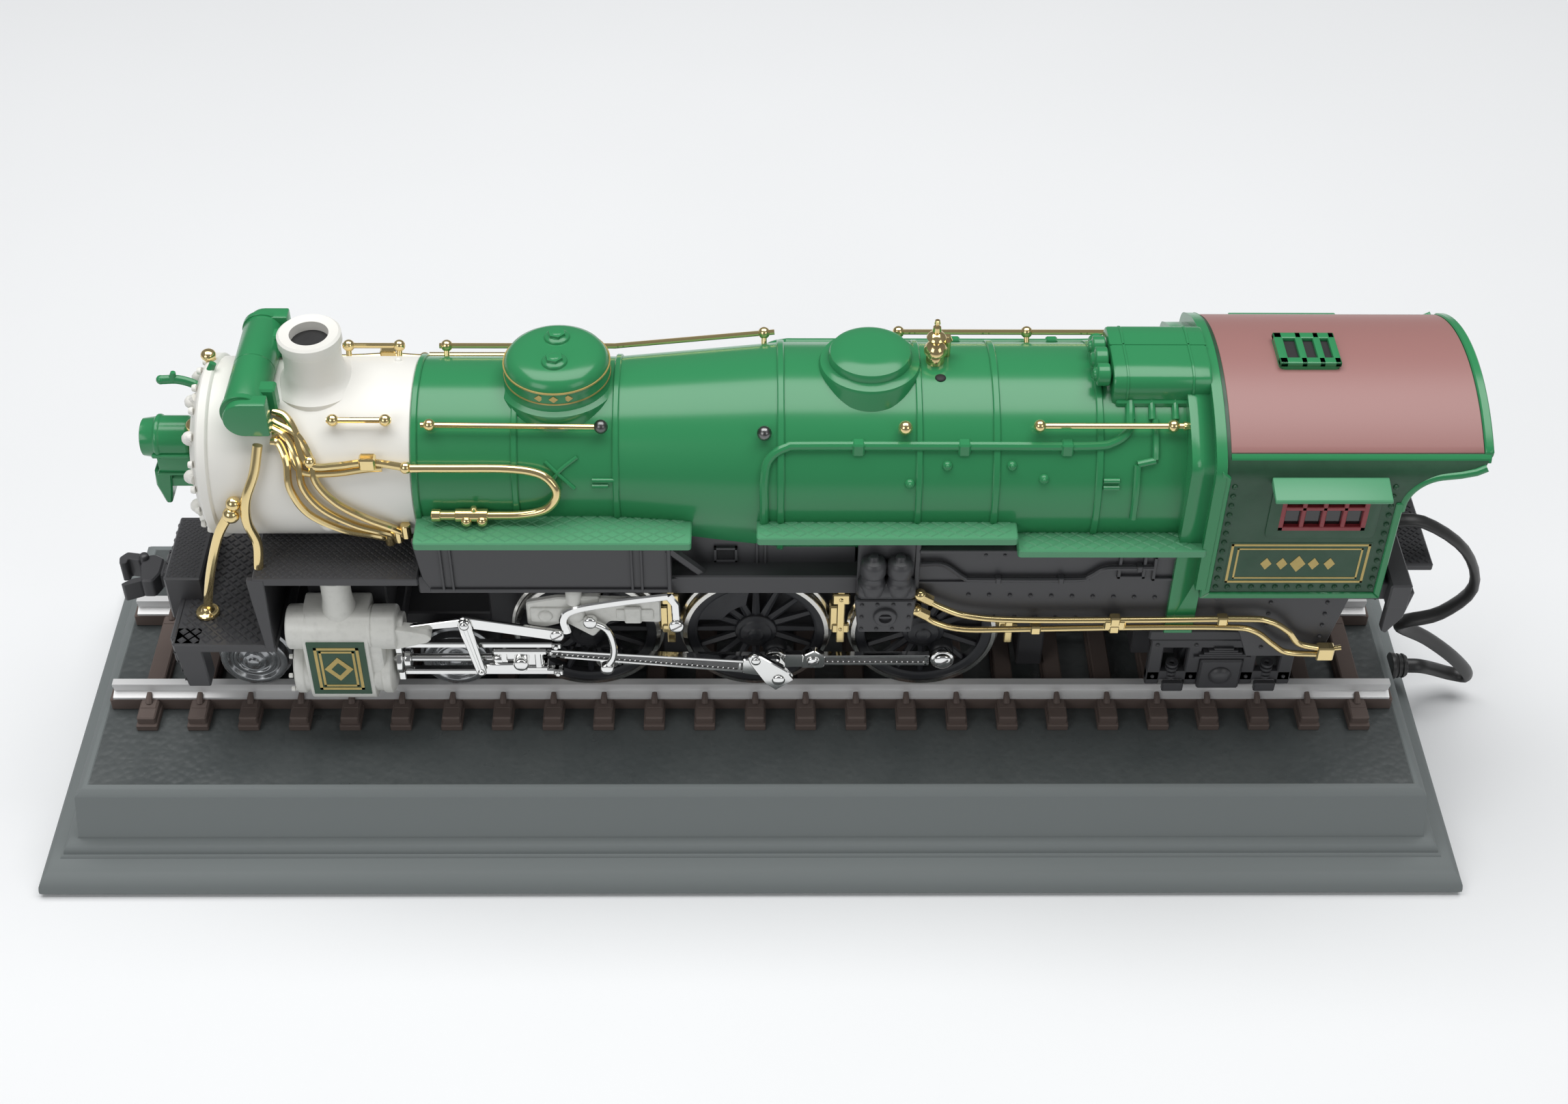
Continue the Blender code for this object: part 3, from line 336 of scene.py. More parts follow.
def smooth_route(points, steps):
    """Points along a Catmull-Rom curve through the given ones."""
    guide = [Vector(p) for p in points]
    padded = [2 * guide[0] - guide[1], *guide, 2 * guide[-1] - guide[-2]]
    route = []
    for before, start, end, after in zip(padded, padded[1:], padded[2:], padded[3:]):
        for i in range(steps):
            t = i / steps
            route.append(
                0.5
                * (
                    2 * start
                    + (end - before) * t
                    + (2 * before - 5 * start + 4 * end - after) * t**2
                    + (3 * start - before - 3 * end + after) * t**3
                )
            )
    route.append(guide[-1])
    return route


AXES = {"x": Vector((1, 0, 0)), "y": Vector((0, 1, 0)), "z": Vector((0, 0, 1))}


def eased(profile, size):
    """A profile with each sharp corner cut back a little, so that its edges catch the light."""
    made = []
    last = len(profile) - 1
    for i, point in enumerate(profile):
        corner = Vector(point)
        if i in (0, last):
            made.append(corner)
            continue
        before = Vector(profile[i - 1]) - corner
        after = Vector(profile[i + 1]) - corner
        if min(before.length, after.length) < 2.2 * size or before.angle(after) > math.radians(155):
            made.append(corner)
            continue
        made.append(corner + before.normalized() * size)
        made.append(corner + after.normalized() * size)
    return made


def ring_faces(pairs, sides):
    """Faces between pairs of rings of point numbers, where a ring of one point is a tip."""
    faces = []
    for a, b in pairs:
        for i in range(sides):
            j = (i + 1) % sides
            face = list(dict.fromkeys([a[i % len(a)], a[j % len(a)], b[j % len(b)], b[i % len(b)]]))
            if len(face) > 2:
                faces.append(face)
    return faces


class Shape:
    """Closed solids gathered into one mesh, in millimetres, each with a paint."""

    def __init__(self, paint, side=1):
        self.paint = paint
        self.side = side
        self.points = []
        self.faces = []
        self.paints = []
        self.slots = []

    def add(self, points, faces, paint=None):
        """Adds a closed solid, turned to face outwards."""
        paint = paint or self.paint
        if paint not in self.paints:
            self.paints.append(paint)
        points = [Vector(p) for p in points]
        volume = 0.0
        for face in faces:
            for i in range(1, len(face) - 1):
                a, b, c = points[face[0]], points[face[i]], points[face[i + 1]]
                volume += a.dot(b.cross(c))
        start = len(self.points)
        self.points += points
        turned = [list(reversed(face)) if volume < 0 else list(face) for face in faces]
        self.faces += [[start + i for i in face] for face in turned]
        self.slots += [self.paints.index(paint)] * len(faces)

    def beveled(self, points, faces, bevel, paint=None, segments=1):
        """Adds a closed solid with its sharp edges cut back."""
        if not bevel:
            self.add(points, faces, paint)
            return
        small = bmesh.new()
        verts = [small.verts.new(p) for p in points]
        for face in faces:
            small.faces.new([verts[i] for i in face])
        bmesh.ops.recalc_face_normals(small, faces=small.faces)
        sharp = [e for e in small.edges if e.calc_face_angle(0) > math.radians(30)]
        bmesh.ops.bevel(
            small,
            geom=sharp,
            offset=bevel,
            offset_type="OFFSET",
            segments=segments,
            profile=0.5,
            affect="EDGES",
            clamp_overlap=True,
        )
        small.verts.index_update()
        self.add([v.co.copy() for v in small.verts], [[v.index for v in f.verts] for f in small.faces],
                 paint)
        small.free()

    def box(self, low, high, bevel=0.3, paint=None, segments=1):
        corners = [(x, y, z) for x in (low[0], high[0]) for y in (low[1], high[1])
                   for z in (low[2], high[2])]
        faces = ((0, 1, 3, 2), (4, 6, 7, 5), (0, 4, 5, 1), (2, 3, 7, 6), (0, 2, 6, 4), (1, 5, 7, 3))
        self.beveled(corners, faces, bevel, paint, segments)

    def plate(self, outline, low, high, plane="xz", bevel=0.25, paint=None, segments=1):
        """A flat outline, extruded across its plane."""
        order = {"xz": (0, 2, 1), "xy": (0, 1, 2), "yz": (1, 2, 0)}[plane]
        points = []
        for level in (low, high):
            for u, v in outline:
                point = [0.0, 0.0, 0.0]
                point[order[0]] = u
                point[order[1]] = v
                point[order[2]] = level
                points.append(point)
        count = len(outline)
        faces = [list(range(count)), list(range(2 * count - 1, count - 1, -1))]
        faces += [(i, (i + 1) % count, count + (i + 1) % count, count + i) for i in range(count)]
        self.beveled(points, faces, bevel, paint, segments)

    def beam(self, start, end, half_widths, low, high, bevel=0.2, paint=None):
        """A straight bar in the xz plane with its own half width at each end."""
        start, end = Vector(start), Vector(end)
        across = (end - start).normalized().orthogonal()
        first, last = half_widths
        outline = (start + across * first, end + across * last, end - across * last, start - across * first)
        self.plate([tuple(p) for p in outline], low, high, "xz", bevel, paint)

    def turn(self, axis, centre, profile, sides=32, paint=None, ring=False, ease=0.2):
        """A solid of revolution from (radius, height) points. A ring's profile closes on itself."""
        direction = AXES[axis.strip("-")] * (-1 if axis.startswith("-") else 1)
        u = direction.orthogonal().normalized()
        v = direction.cross(u)
        if ring:
            profile = [*profile, profile[0]]
        profile = eased(profile, ease) if ease else [Vector(p) for p in profile]
        if ring:
            profile = profile[:-1]
        points, rings = [], []
        for radius, height in profile:
            middle = Vector(centre) + direction * height
            if radius < 1e-6:
                rings.append([len(points)])
                points.append(middle)
                continue
            rings.append(list(range(len(points), len(points) + sides)))
            for i in range(sides):
                angle = 2 * math.pi * i / sides
                points.append(middle + (u * math.cos(angle) + v * math.sin(angle)) * radius)
        pairs = list(zip(rings, rings[1:]))
        if ring:
            pairs.append((rings[-1], rings[0]))
        faces = ring_faces(pairs, sides)
        if not ring:
            for cap in (rings[0], rings[-1]):
                if len(cap) > 1:
                    faces.append(list(reversed(cap)) if cap is rings[0] else cap)
        self.add(points, faces, paint)

    def rod(self, start, end, radius, end_radius=None, sides=16, paint=None):
        """A round bar or cone between two points."""
        self.sweep([Vector(start), Vector(end)], [radius, end_radius or radius], sides, paint)

    def sweep(self, route, radii, sides=10, paint=None, flat=None):
        """A tube along a route. flat is (half width, half thickness) and the way its width points."""
        count = len(route)
        tangents = []
        for i in range(count):
            ahead = route[min(i + 1, count - 1)] - route[max(i - 1, 0)]
            tangents.append(ahead.normalized())
        across = tangents[0].orthogonal().normalized()
        if flat:
            across = Vector(flat[2])
        points = []
        for i, (middle, tangent) in enumerate(zip(route, tangents)):
            across = (across - tangent * across.dot(tangent)).normalized()
            other = tangent.cross(across)
            for k in range(sides):
                angle = 2 * math.pi * k / sides
                if flat:
                    offset = across * flat[0] * math.cos(angle) + other * flat[1] * math.sin(angle)
                else:
                    offset = (across * math.cos(angle) + other * math.sin(angle)) * radii[i]
                points.append(middle + offset)
        faces = []
        for i in range(count - 1):
            for k in range(sides):
                n = (k + 1) % sides
                faces.append((i * sides + k, i * sides + n, (i + 1) * sides + n, (i + 1) * sides + k))
        faces.append(list(range(sides - 1, -1, -1)))
        faces.append([(count - 1) * sides + k for k in range(sides)])
        self.add(points, faces, paint)

    def tube(self, points, radius, steps=6, sides=10, paint=None):
        """A round pipe along a smooth curve through the points."""
        route = smooth_route(points, steps)
        self.sweep(route, [radius] * len(route), sides, paint)

    def ball(self, centre, radius, paint=None, squash=(1, 1, 1), sides=16, rings=8):
        profile = [(math.sin(math.pi * i / rings), -math.cos(math.pi * i / rings))
                   for i in range(rings + 1)]
        points, loops = [], []
        for r, h in profile:
            if r < 1e-6:
                loops.append([len(points)])
                points.append((0, 0, h))
                continue
            loops.append(list(range(len(points), len(points) + sides)))
            for i in range(sides):
                angle = 2 * math.pi * i / sides
                points.append((r * math.cos(angle), r * math.sin(angle), h))
        size = Vector(squash) * radius
        placed = [Vector(centre) + Vector((x * size.x, y * size.y, z * size.z)) for x, y, z in points]
        self.add(placed, ring_faces(zip(loops, loops[1:]), sides), paint)

    def rivet(self, centre, radius=0.7, paint=None):
        self.ball(centre, radius, paint, sides=8, rings=6)

    def bolt(self, axis, centre, radius, height, paint=None):
        """A hexagonal head."""
        self.turn(axis, centre, [(0, -0.4), (radius, -0.4), (radius, height * 0.7), (radius * 0.7, height),
                                 (0, height)],
                  6, paint, ease=0)

    def screw(self, centre, radius):
        """A round head on a side face, its slot turned a little: a dark chrome bar of painted shade laid on
        the head.
        """
        x, y, z = centre
        profile = [(0, -0.4), (radius, -0.4), (radius, 0.35), (radius * 0.8, 0.7), (0, 0.8)]
        self.turn("y", centre, profile, 20, "chrome", ease=0.08)
        tilt = math.radians(35)
        reach = Vector((math.cos(tilt), math.sin(tilt))) * radius * 0.85
        self.beam((x - reach.x, z - reach.y), (x + reach.x, z + reach.y), (0.22, 0.22), y + 0.6, y + 0.86,
                  0, "dark_chrome_and_painted_shade")

    def tread(self, x_range, y_range, z, cell, height, paint=None, fill=0.92, top=0.62):
        """Raised diamonds on a horizontal plate. cell is the diamonds' length and width."""
        length, width = cell
        columns = int((x_range[1] - x_range[0]) / length * 2)
        rows = int((y_range[1] - y_range[0]) / width * 2)
        for i in range(1, columns):
            for j in range(1, rows):
                if (i + j) % 2:
                    continue
                x = x_range[0] + i * length / 2
                y = y_range[0] + j * width / 2
                self.stud(Vector((x, y, z)), Vector((1, 0, 0)), Vector((0, 1, 0)), cell, height, paint,
                          fill, top)

    def stud(self, middle, u, v, cell, height, paint, fill=0.92, top=0.62):
        """One raised diamond in the plane of u and v."""
        up = u.cross(v)
        points = []
        for level, share in ((-0.25, fill), (0, fill), (height, fill * top)):
            for a, b in ((1, 0), (0, 1), (-1, 0), (0, -1)):
                points.append(middle + u * a * cell[0] / 2 * share + v * b * cell[1] / 2 * share
                              + up * level)
        faces = [(3, 2, 1, 0), (8, 9, 10, 11)]
        for ring in (0, 4):
            faces += [(ring + i, ring + (i + 1) % 4, ring + 4 + (i + 1) % 4, ring + 4 + i)
                      for i in range(4)]
        self.add(points, faces, paint)

    def object(self, name, sharp=35):
        mesh = bpy.data.meshes.new(name)
        points = [(p.x * MM, p.y * self.side * MM, p.z * MM) for p in self.points]
        faces = [list(reversed(face)) for face in self.faces] if self.side < 0 else self.faces
        mesh.from_pydata(points, [], faces)
        for paint in self.paints:
            mesh.materials.append(material(paint))
        mesh.polygons.foreach_set("material_index", self.slots)
        mesh.shade_smooth()
        mesh.set_sharp_from_angle(angle=math.radians(sharp))
        obj = bpy.data.objects.new(name, mesh)
        bpy.context.scene.collection.objects.link(obj)
        return obj

    def piece(self, name, body, slot, *replaced, sharp=35):
        return settle(self.object(name, sharp), body, slot, *replaced)


def settle(obj, body, slot, *replaced):
    """Puts a piece on its body, in place of CAD nodes; its slot is not used."""
    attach(obj, body)
    if replaced:
        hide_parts(*replaced)
    return obj


def carved(obj, *tools):
    """Cuts shapes out of an object, and applies the cut."""
    for tool in tools:
        cutter = tool.object(f"{obj.name}_cutter")
        modifier = obj.modifiers.new("cut", "BOOLEAN")
        modifier.operation = "DIFFERENCE"
        modifier.solver = "EXACT"
        modifier.object = cutter
        bpy.context.view_layer.update()
        cut = bpy.data.meshes.new_from_object(obj.evaluated_get(bpy.context.evaluated_depsgraph_get()))
        obj.modifiers.clear()
        obj.data = cut
        bpy.data.objects.remove(cutter, do_unlink=True)
    obj.data.shade_smooth()
    obj.data.set_sharp_from_angle(angle=math.radians(35))
    return obj


def softened(obj, width):
    """Rounds an object's sharp edges."""
    bevel = obj.modifiers.new("ease", "BEVEL")
    bevel.width = width * MM
    bevel.segments = 2
    bevel.limit_method = "ANGLE"
    bevel.angle_limit = math.radians(40)


def below_floor():
    """A cutter for everything under the handset's floor."""
    cutter = Shape("green")
    cutter.box((-120, -60, 40), (140, 60, HANDSET_FLOOR), 0.0)
    return cutter


def drum(angle, radius, x):
    """A point on the boiler, its angle in degrees from the top towards the shape's own side."""
    turn = math.radians(angle)
    return Vector((x, radius * math.sin(turn), BOILER_Z + radius * math.cos(turn)))


def boiler_radius(x):
    """The boiler widens from the smokebox to the firebox between two points."""
    if x < TAPER_START:
        return SMOKEBOX_RADIUS
    if x > FIREBOX_START:
        return FIREBOX_RADIUS
    share = (x - TAPER_START) / (FIREBOX_START - TAPER_START)
    return SMOKEBOX_RADIUS + share * (FIREBOX_RADIUS - SMOKEBOX_RADIUS)


# ---------------------------------------------------------------- camera, cord, room


def camera():
    """The photograph's view: its place, and its turn from yaw, pitch and roll."""
    yaw, pitch, roll = (math.radians(angle) for angle in CAMERA_TURN)
    forward = Vector((math.sin(yaw) * math.cos(pitch), math.cos(yaw) * math.cos(pitch), -math.sin(pitch)))
    right = Vector((math.cos(yaw), -math.sin(yaw), 0))
    up = right.cross(forward)
    tilted = right * math.cos(roll) + up * math.sin(roll)
    upright = up * math.cos(roll) - right * math.sin(roll)
    data = bpy.data.cameras.new("camera")
    data.lens = CAMERA_LENS
    data.sensor_width = 36.0
    data.sensor_fit = "HORIZONTAL"
    data.clip_start = 0.01
    obj = bpy.data.objects.new("camera", data)
    turn = Matrix((tilted, upright, -forward)).transposed().to_4x4()
    obj.matrix_world = Matrix.Translation(CAMERA_PLACE) @ turn
    bpy.context.scene.collection.objects.link(obj)
    bpy.context.scene.camera = obj


def handset_cord():
    """A flat line cord from the handset's gland, down behind the cab, into the plinth's gland."""
    route = smooth_route(CORD_ROUTE, 4)
    shape = Shape("rubber")
    shape.sweep(route, None, 16, flat=(CORD_WIDTH / 2, CORD_THICKNESS / 2, (0.1, 1.0, 0.1)))
    cord = shape.object("line_cord", 60)
    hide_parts("handset_cord")
    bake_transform(cord)


def area_light(name, place, target, size, power, colour=(1, 1, 1)):
    """A soft rectangular light that faces its target."""
    data = bpy.data.lights.new(name, "AREA")
    data.shape = "RECTANGLE"
    data.size, data.size_y = size
    data.energy = power
    data.color = colour
    obj = bpy.data.objects.new(name, data)
    obj.location = place
    obj.rotation_euler = (Vector(target) - Vector(place)).to_track_quat("-Z", "Y").to_euler()
    bpy.context.scene.collection.objects.link(obj)


def studio():
    """A pale floor that runs out into a white room, under two broad soft lights."""
    world = bpy.data.worlds.new("room")
    world.use_nodes = True
    background = world.node_tree.nodes["Background"]
    background.inputs["Color"].default_value = (0.93, 0.95, 0.97, 1)
    background.inputs["Strength"].default_value = 0.17
    bpy.context.scene.world = world
    area_light("overhead", (0.0, 0.15, 1.3), (0, 0, 0.05), (1.8, 0.9), 20)
    area_light("front_left", (-0.9, -1.1, 0.9), (0, 0, 0.05), (0.8, 0.8), 5.0)
    area_light("front_right", (1.0, -1.0, 0.8), (0, 0, 0.05), (0.7, 0.7), 2.6)
    mesh = bpy.data.meshes.new("floor")
    reach = 6.0
    mesh.from_pydata([(-reach, -reach, 0), (reach, -reach, 0), (reach, reach, 0), (-reach, reach, 0)], [],
                     [(0, 1, 2, 3)])
    floor = bpy.data.objects.new("floor", mesh)
    floor.location.z = -0.0004
    bpy.context.scene.collection.objects.link(floor)
    paper = bpy.data.materials.new("paper")
    paper.use_nodes = True
    nodes, links = paper.node_tree.nodes, paper.node_tree.links
    coordinates = nodes.new("ShaderNodeTexCoord").outputs["Object"]
    tone = noise(nodes, links, coordinates, 180.0)
    links.new(mixed(nodes, links, tone, (0.86, 0.87, 0.88), (0.82, 0.83, 0.84)),
              nodes["Principled BSDF"].inputs["Base Color"])
    nodes["Principled BSDF"].inputs["Roughness"].default_value = 0.6
    mesh.materials.append(paper)


# ---------------------------------------------------------------- plinth and track


def loft(shape, rings, painted_highlight_top_paint):
    """Rectangles of (height, inset along, inset across) from the plinth's outline, joined up."""
    half_length, half_depth = BASE_HALF
    points = []
    for z, along, across in rings:
        for sx, sy in ((-1, -1), (1, -1), (1, 1), (-1, 1)):
            points.append((sx * (half_length - along), sy * (half_depth - across), z))
    faces = [(3, 2, 1, 0)]
    for level in range(len(rings) - 1):
        for i in range(4):
            j = (i + 1) % 4
            faces.append((4 * level + i, 4 * level + j, 4 * level + 4 + j, 4 * level + 4 + i))
    last = 4 * (len(rings) - 1)
    faces.append((last, last + 1, last + 2, last + 3))
    shape.add(points, faces)
    # The top face takes the lighter top paint, which carries painted highlight.
    shape.paints.append(painted_highlight_top_paint)
    shape.slots[-1] = len(shape.paints) - 1


def convex(start, end, steps=6):
    """A quarter round between two rings, upright at its foot and flat at its top."""
    made = []
    for i in range(steps + 1):
        angle = math.pi / 2 * i / steps
        rise, run = math.sin(angle), 1 - math.cos(angle)
        made.append(
            (
                start[0] + (end[0] - start[0]) * rise,
                start[1] + (end[1] - start[1]) * run,
                start[2] + (end[2] - start[2]) * run,
            )
        )
    return made


def plinth():
    shape = Shape("plinth")
    rings = [(0.0, 1.3, 1.3), (0.4, 0.5, 0.5), (1.2, 0.0, 0.0)]
    rings += convex((2.4, 0.0, 0.0), (8.0, 5.9, 8.05))
    rings += [(8.5, 6.1, 8.3)]
    rings += convex((8.9, 6.9, 9.0), (12.0, 10.0, 12.1))
    rings += [(12.0, 10.9, 12.7), (12.3, 11.2, 12.9), (29.4, 13.4, 13.7), (29.9, 13.6, 13.9)]
    rings += [(31.5, 15.3, 15.3), (BASE_TOP, 15.8, 15.8), (BASE_TOP, 16.9, 16.9), (31.55, 17.2, 17.2)]
    # The top, and the ledge's top below, take the lighter copy of the plinth paint: painted highlight.
    loft(shape, rings, "plinth_top_painted_highlight")
    end, half = LEDGE
    shape.box((198.0, -half, 3.5), (end, half, BASE_TOP), 0.7, segments=2)
    shape.box((196.0, -half + 1.4, 31.0), (end - 1.4, half - 1.4, BASE_TOP + 0.05), 0.05, "plinth_top_painted_highlight")
    obj = shape.object("plinth_moulding", 28)
    window = Shape("plinth")
    window.box((-147.9, 45.0, 13.6), (-136.1, 62.0, 22.0), 0.0)
    settle(carved(obj, window), "base", "plinth", "base_shell")


def line_jack():
    """A telephone socket in the back wall, with its contacts."""
    shape = Shape("matt_black")
    shape.box((-147.6, 42.0, 13.9), (-146.6, 54.0, 21.7), 0.1)
    shape.box((-137.4, 42.0, 13.9), (-136.4, 54.0, 21.7), 0.1)
    shape.box((-147.6, 42.0, 13.9), (-136.4, 54.0, 14.8), 0.1)
    shape.box((-147.6, 42.0, 20.8), (-136.4, 54.0, 21.7), 0.1)
    shape.box((-147.6, 42.0, 13.9), (-136.4, 43.5, 21.7), 0.1)
    for i in range(4):
        x = -144.3 + i * 1.5
        shape.sweep([Vector((x, 44.0, 20.6)), Vector((x, 50.0, 17.5)), Vector((x, 52.5, 17.2))], [0.25] * 3,
                    6, "gold")
    shape.piece("line_socket", "base", "black", "line_jack")


def sleepers():
    shape = Shape("sleeper")
    for side in (-1, 1):
        middle = side * RAIL_Y
        shape.box((-198.1, middle - 2.6, 31.6), (198.1, middle + 2.6, SLEEPER_TOP - 0.3), 0.3)
    for i in range(SLEEPER_COUNT):
        x = SLEEPER_FIRST + i * SLEEPER_PITCH
        shape.box((x - 3.2, -SLEEPER_HALF, 31.5), (x + 3.2, SLEEPER_HALF, 33.7), 0.25)
        shape.box((x - 2.8, -SLEEPER_HALF + 0.9, 33.0), (x + 2.8, SLEEPER_HALF - 0.9, SLEEPER_TOP), 0.4)
        for side in (-1, 1):
            y0, y1 = sorted((side * 11.9, side * 24.7))
            shape.box((x - 2.3, y0, 36.0), (x + 2.3, y1, SLEEPER_TOP + 0.22), 0.1)
            for lean in (-1, 1):
                foot = Vector((x, side * RAIL_Y + lean * 4.4, SLEEPER_TOP))
                head = Vector((x, side * RAIL_Y + lean * 1.9, 38.5))
                shape.sweep([foot, (foot + head) / 2 + Vector((0, lean * 0.3, 0.3)), head],
                            [1.15, 1.0, 0.75], 8)
    shape.piece("sleepers_and_chairs", "base", "sleeper", "sleeper_bed")


def paint_nodes():
    """Materials for the CAD nodes that keep their own shape."""
    kept = {
        "rail_near": "rail",
        "rail_far": "rail",
        "base_cover": "matt_black",
        "base_circuit_board": "circuit",
        "ringer": "black",
        "handset_floor": "matt_black",
        "handset_circuit_board": "circuit",
        "earpiece_capsule": "matt_black",
        "microphone_capsule": "matt_black",
        "cab_floor": "black",
    }
    for name, paint in kept.items():
        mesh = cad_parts[name].data
        if not mesh.materials:
            mesh.materials.append(None)
        for i in range(len(mesh.materials)):
            mesh.materials[i] = material(paint)


# ---------------------------------------------------------------- wheels and rods


def driver_wheels(index):
    """A driving axle: spoked wheels with tyres, hubs, balance weights and crank pins."""
    x = DRIVER_MIDDLE + (index - 2) * DRIVER_SPACING
    shape = Shape("wheel_black")
    shape.rod((x, -WHEEL_BACK - 1, AXLE_Z), (x, WHEEL_BACK + 1, AXLE_Z), 2.4, paint="steel")
    crank_angle = math.degrees(math.atan2(CRANK[1], CRANK[0]))
    for side in SIDES.values():
        axis = "y" if side > 0 else "-y"
        centre = (x, 0, AXLE_Z)
        tyre = [(20.6, 19.6), (22.0, 19.4), (22.0, 16.9), (23.2, 16.5), (23.2, 15.7), (20.6, 15.7)]
        shape.turn(axis, centre, tyre, 64, "steel", ring=True)
        rim = [(17.7, 18.6), (18.4, 19.0), (20.7, 19.0), (20.7, 16.0), (17.7, 16.0)]
        shape.turn(axis, centre, rim, 64, ring=True)
        hub = [(0, 20.5), (2.2, 20.5), (2.4, 20.0), (4.6, 19.8), (4.9, 19.3), (6.3, 18.8), (6.3, 15.9),
               (0, 15.9)]
        shape.turn(axis, centre, hub, 28)
        for k in range(16):
            angle = 2 * math.pi * k / 16
            out = Vector((math.cos(angle), 0, math.sin(angle)))
            across = Vector((-math.sin(angle), 0, math.cos(angle)))
            points = []
            for reach, half in ((5.2, 1.25), (18.3, 0.75)):
                for a, y in ((-half, 16.4), (half, 16.4), (half, 17.6), (0, 18.3), (-half, 17.6)):
                    points.append(Vector(centre) + out * reach + across * a + Vector((0, side * y, 0)))
            faces = [(0, 1, 2, 3, 4), (9, 8, 7, 6, 5)] + [(i, i + 5, (i + 1) % 5 + 5, (i + 1) % 5)
                                                          for i in range(5)]
            shape.add(points, faces)
        weight = arc((x, AXLE_Z), 18.2, crank_angle + 145, crank_angle + 215, 14)
        weight += arc((x, AXLE_Z), 11.0, crank_angle + 205, crank_angle + 155, 8)
        y0, y1 = sorted((side * 16.2, side * 18.7))
        shape.plate(weight, y0, y1, bevel=0.25)
        pin_x, pin_z = x + CRANK[0], AXLE_Z + CRANK[1]
        shape.turn(axis, (pin_x, 0, pin_z), [(0, 21.6), (3.0, 21.6), (3.6, 20.8), (3.6, 16.4), (0, 16.4)],
                   24)
        end = 29.8 if index == 2 else 24.6
        shape.rod((pin_x, side * 20, pin_z), (pin_x, side * end, pin_z), 1.8, paint="chrome")
        if index != 2:
            head = [(0, 25.5), (1.9, 25.5), (2.8, 25.1), (2.8, 24.4), (0, 24.4)]
            shape.turn(axis, (pin_x, 0, pin_z), head, 20, "chrome")
            # The slot is a dark chrome bar of painted shade laid on the head.
            y0, y1 = sorted((side * 25.3, side * 25.62))
            shape.beam((pin_x - 1.6, pin_z - 1.3), (pin_x + 1.6, pin_z + 1.3), (0.3, 0.3), y0, y1, 0,
                       "dark_chrome_and_painted_shade")
    if index == 2:
        for side in SIDES.values():
            return_crank(shape, side, (pin_x, pin_z), (x, AXLE_Z))
    shape.piece(f"driver_wheels_{index}", f"driver_{index}", "black", f"driver_axle_{index}")


def return_crank(shape, side, pin, top):
    """A plate from the main crank pin back towards the axle, with a square lower end."""
    y0, y1 = sorted((side * 29.6, side * 31.2))
    along = (Vector(pin) - Vector(top)).normalized()
    across = Vector((-along.y, along.x))
    top, pin = Vector(top), Vector(pin)
    outline = [top + across * 2.3, pin + across * 4.2 + along * 0.5, pin + across * 3.6 + along * 4.6]
    outline += [pin - across * 3.6 + along * 4.6, pin - across * 4.2 + along * 0.5, top - across * 2.3]
    outline.insert(0, top - along * 2.4 + across * 1.2)
    outline.append(top - along * 2.4 - across * 1.2)
    shape.plate([tuple(p) for p in outline], y0, y1, paint="chrome", bevel=0.3)
    axis = "y" if side > 0 else "-y"
    for (u, v), radius in ((top, 1.5), (pin + along * 1.5, 2.0)):
        profile = [(0, 32.1), (radius * 0.7, 32.0), (radius, 31.6), (radius, 30.8), (0, 30.8)]
        shape.turn(axis, (u, 0, v), profile, 16, "chrome")


def small_wheels(name, body, node, x, radius, paint):
    """An axle with two plate wheels."""
    shape = Shape(paint)
    z = RAIL_TOP + 0.3 + radius
    shape.rod((x, -WHEEL_BACK - 1, z), (x, WHEEL_BACK + 1, z), 2.0, paint="steel")
    for axis in ("y", "-y"):
        profile = [(0, 21.0), (1.7, 20.9), (2.0, 20.2), (3.2, 20.0), (3.4, 18.9), (5.0, 18.5), (5.4, 19.1),
                   (6.2, 19.1)]
        profile += [(6.6, 18.4), (radius - 2.6, 18.4), (radius - 2.1, 19.6), (radius - 0.2, 19.6),
                    (radius, 19.2)]
        profile += [(radius, 16.8), (radius + 1.1, 16.4), (radius + 1.1, 15.7), (0, 15.7)]
        shape.turn(axis, (x, 0, z), profile, 48, ease=0.12)
    shape.piece(name, body, "chrome", node)


def fluted(shape, start, end, halves, low, high, trim):
    """A connecting rod's channel: a sunk web in dark chrome, its painted shade, with bright edges and a row
    of studs.
    """
    start, end = Vector(start), Vector(end)
    along = (end - start).normalized()
    across = Vector((-along.y, along.x))
    if across.y < 0:
        across = -across
    shape.beam(start, end, halves, low, high - 0.55, 0.1, "chrome")
    # The web: dark chrome as painted shade in the sunk channel.
    shape.beam(start, end, [half - 0.55 for half in halves], low + 0.2, high - 0.5, 0.0, "dark_chrome_and_painted_shade")
    for turn in (-1, 1):
        a = start + across * turn * (halves[0] - 0.4)
        b = end + across * turn * (halves[1] - 0.4)
        shape.beam(a, b, (0.45, 0.45), low, high, 0.15, "chrome")
    count = int((end - start).length / 1.55)
    for i in range(1, count):
        spot = start + (end - start) * i / count
        half = halves[0] + (halves[1] - halves[0]) * i / count
        shape.ball((spot.x, high - 0.45, spot.y - across.y * (half - 1.25)), 0.38, "chrome", sides=6,
                   rings=4)
    for share in trim:
        spot = start + (end - start) * share
        shape.beam(spot - along * 0.4, spot + along * 0.4, (halves[0], halves[0]), low, high, 0.1, "chrome")


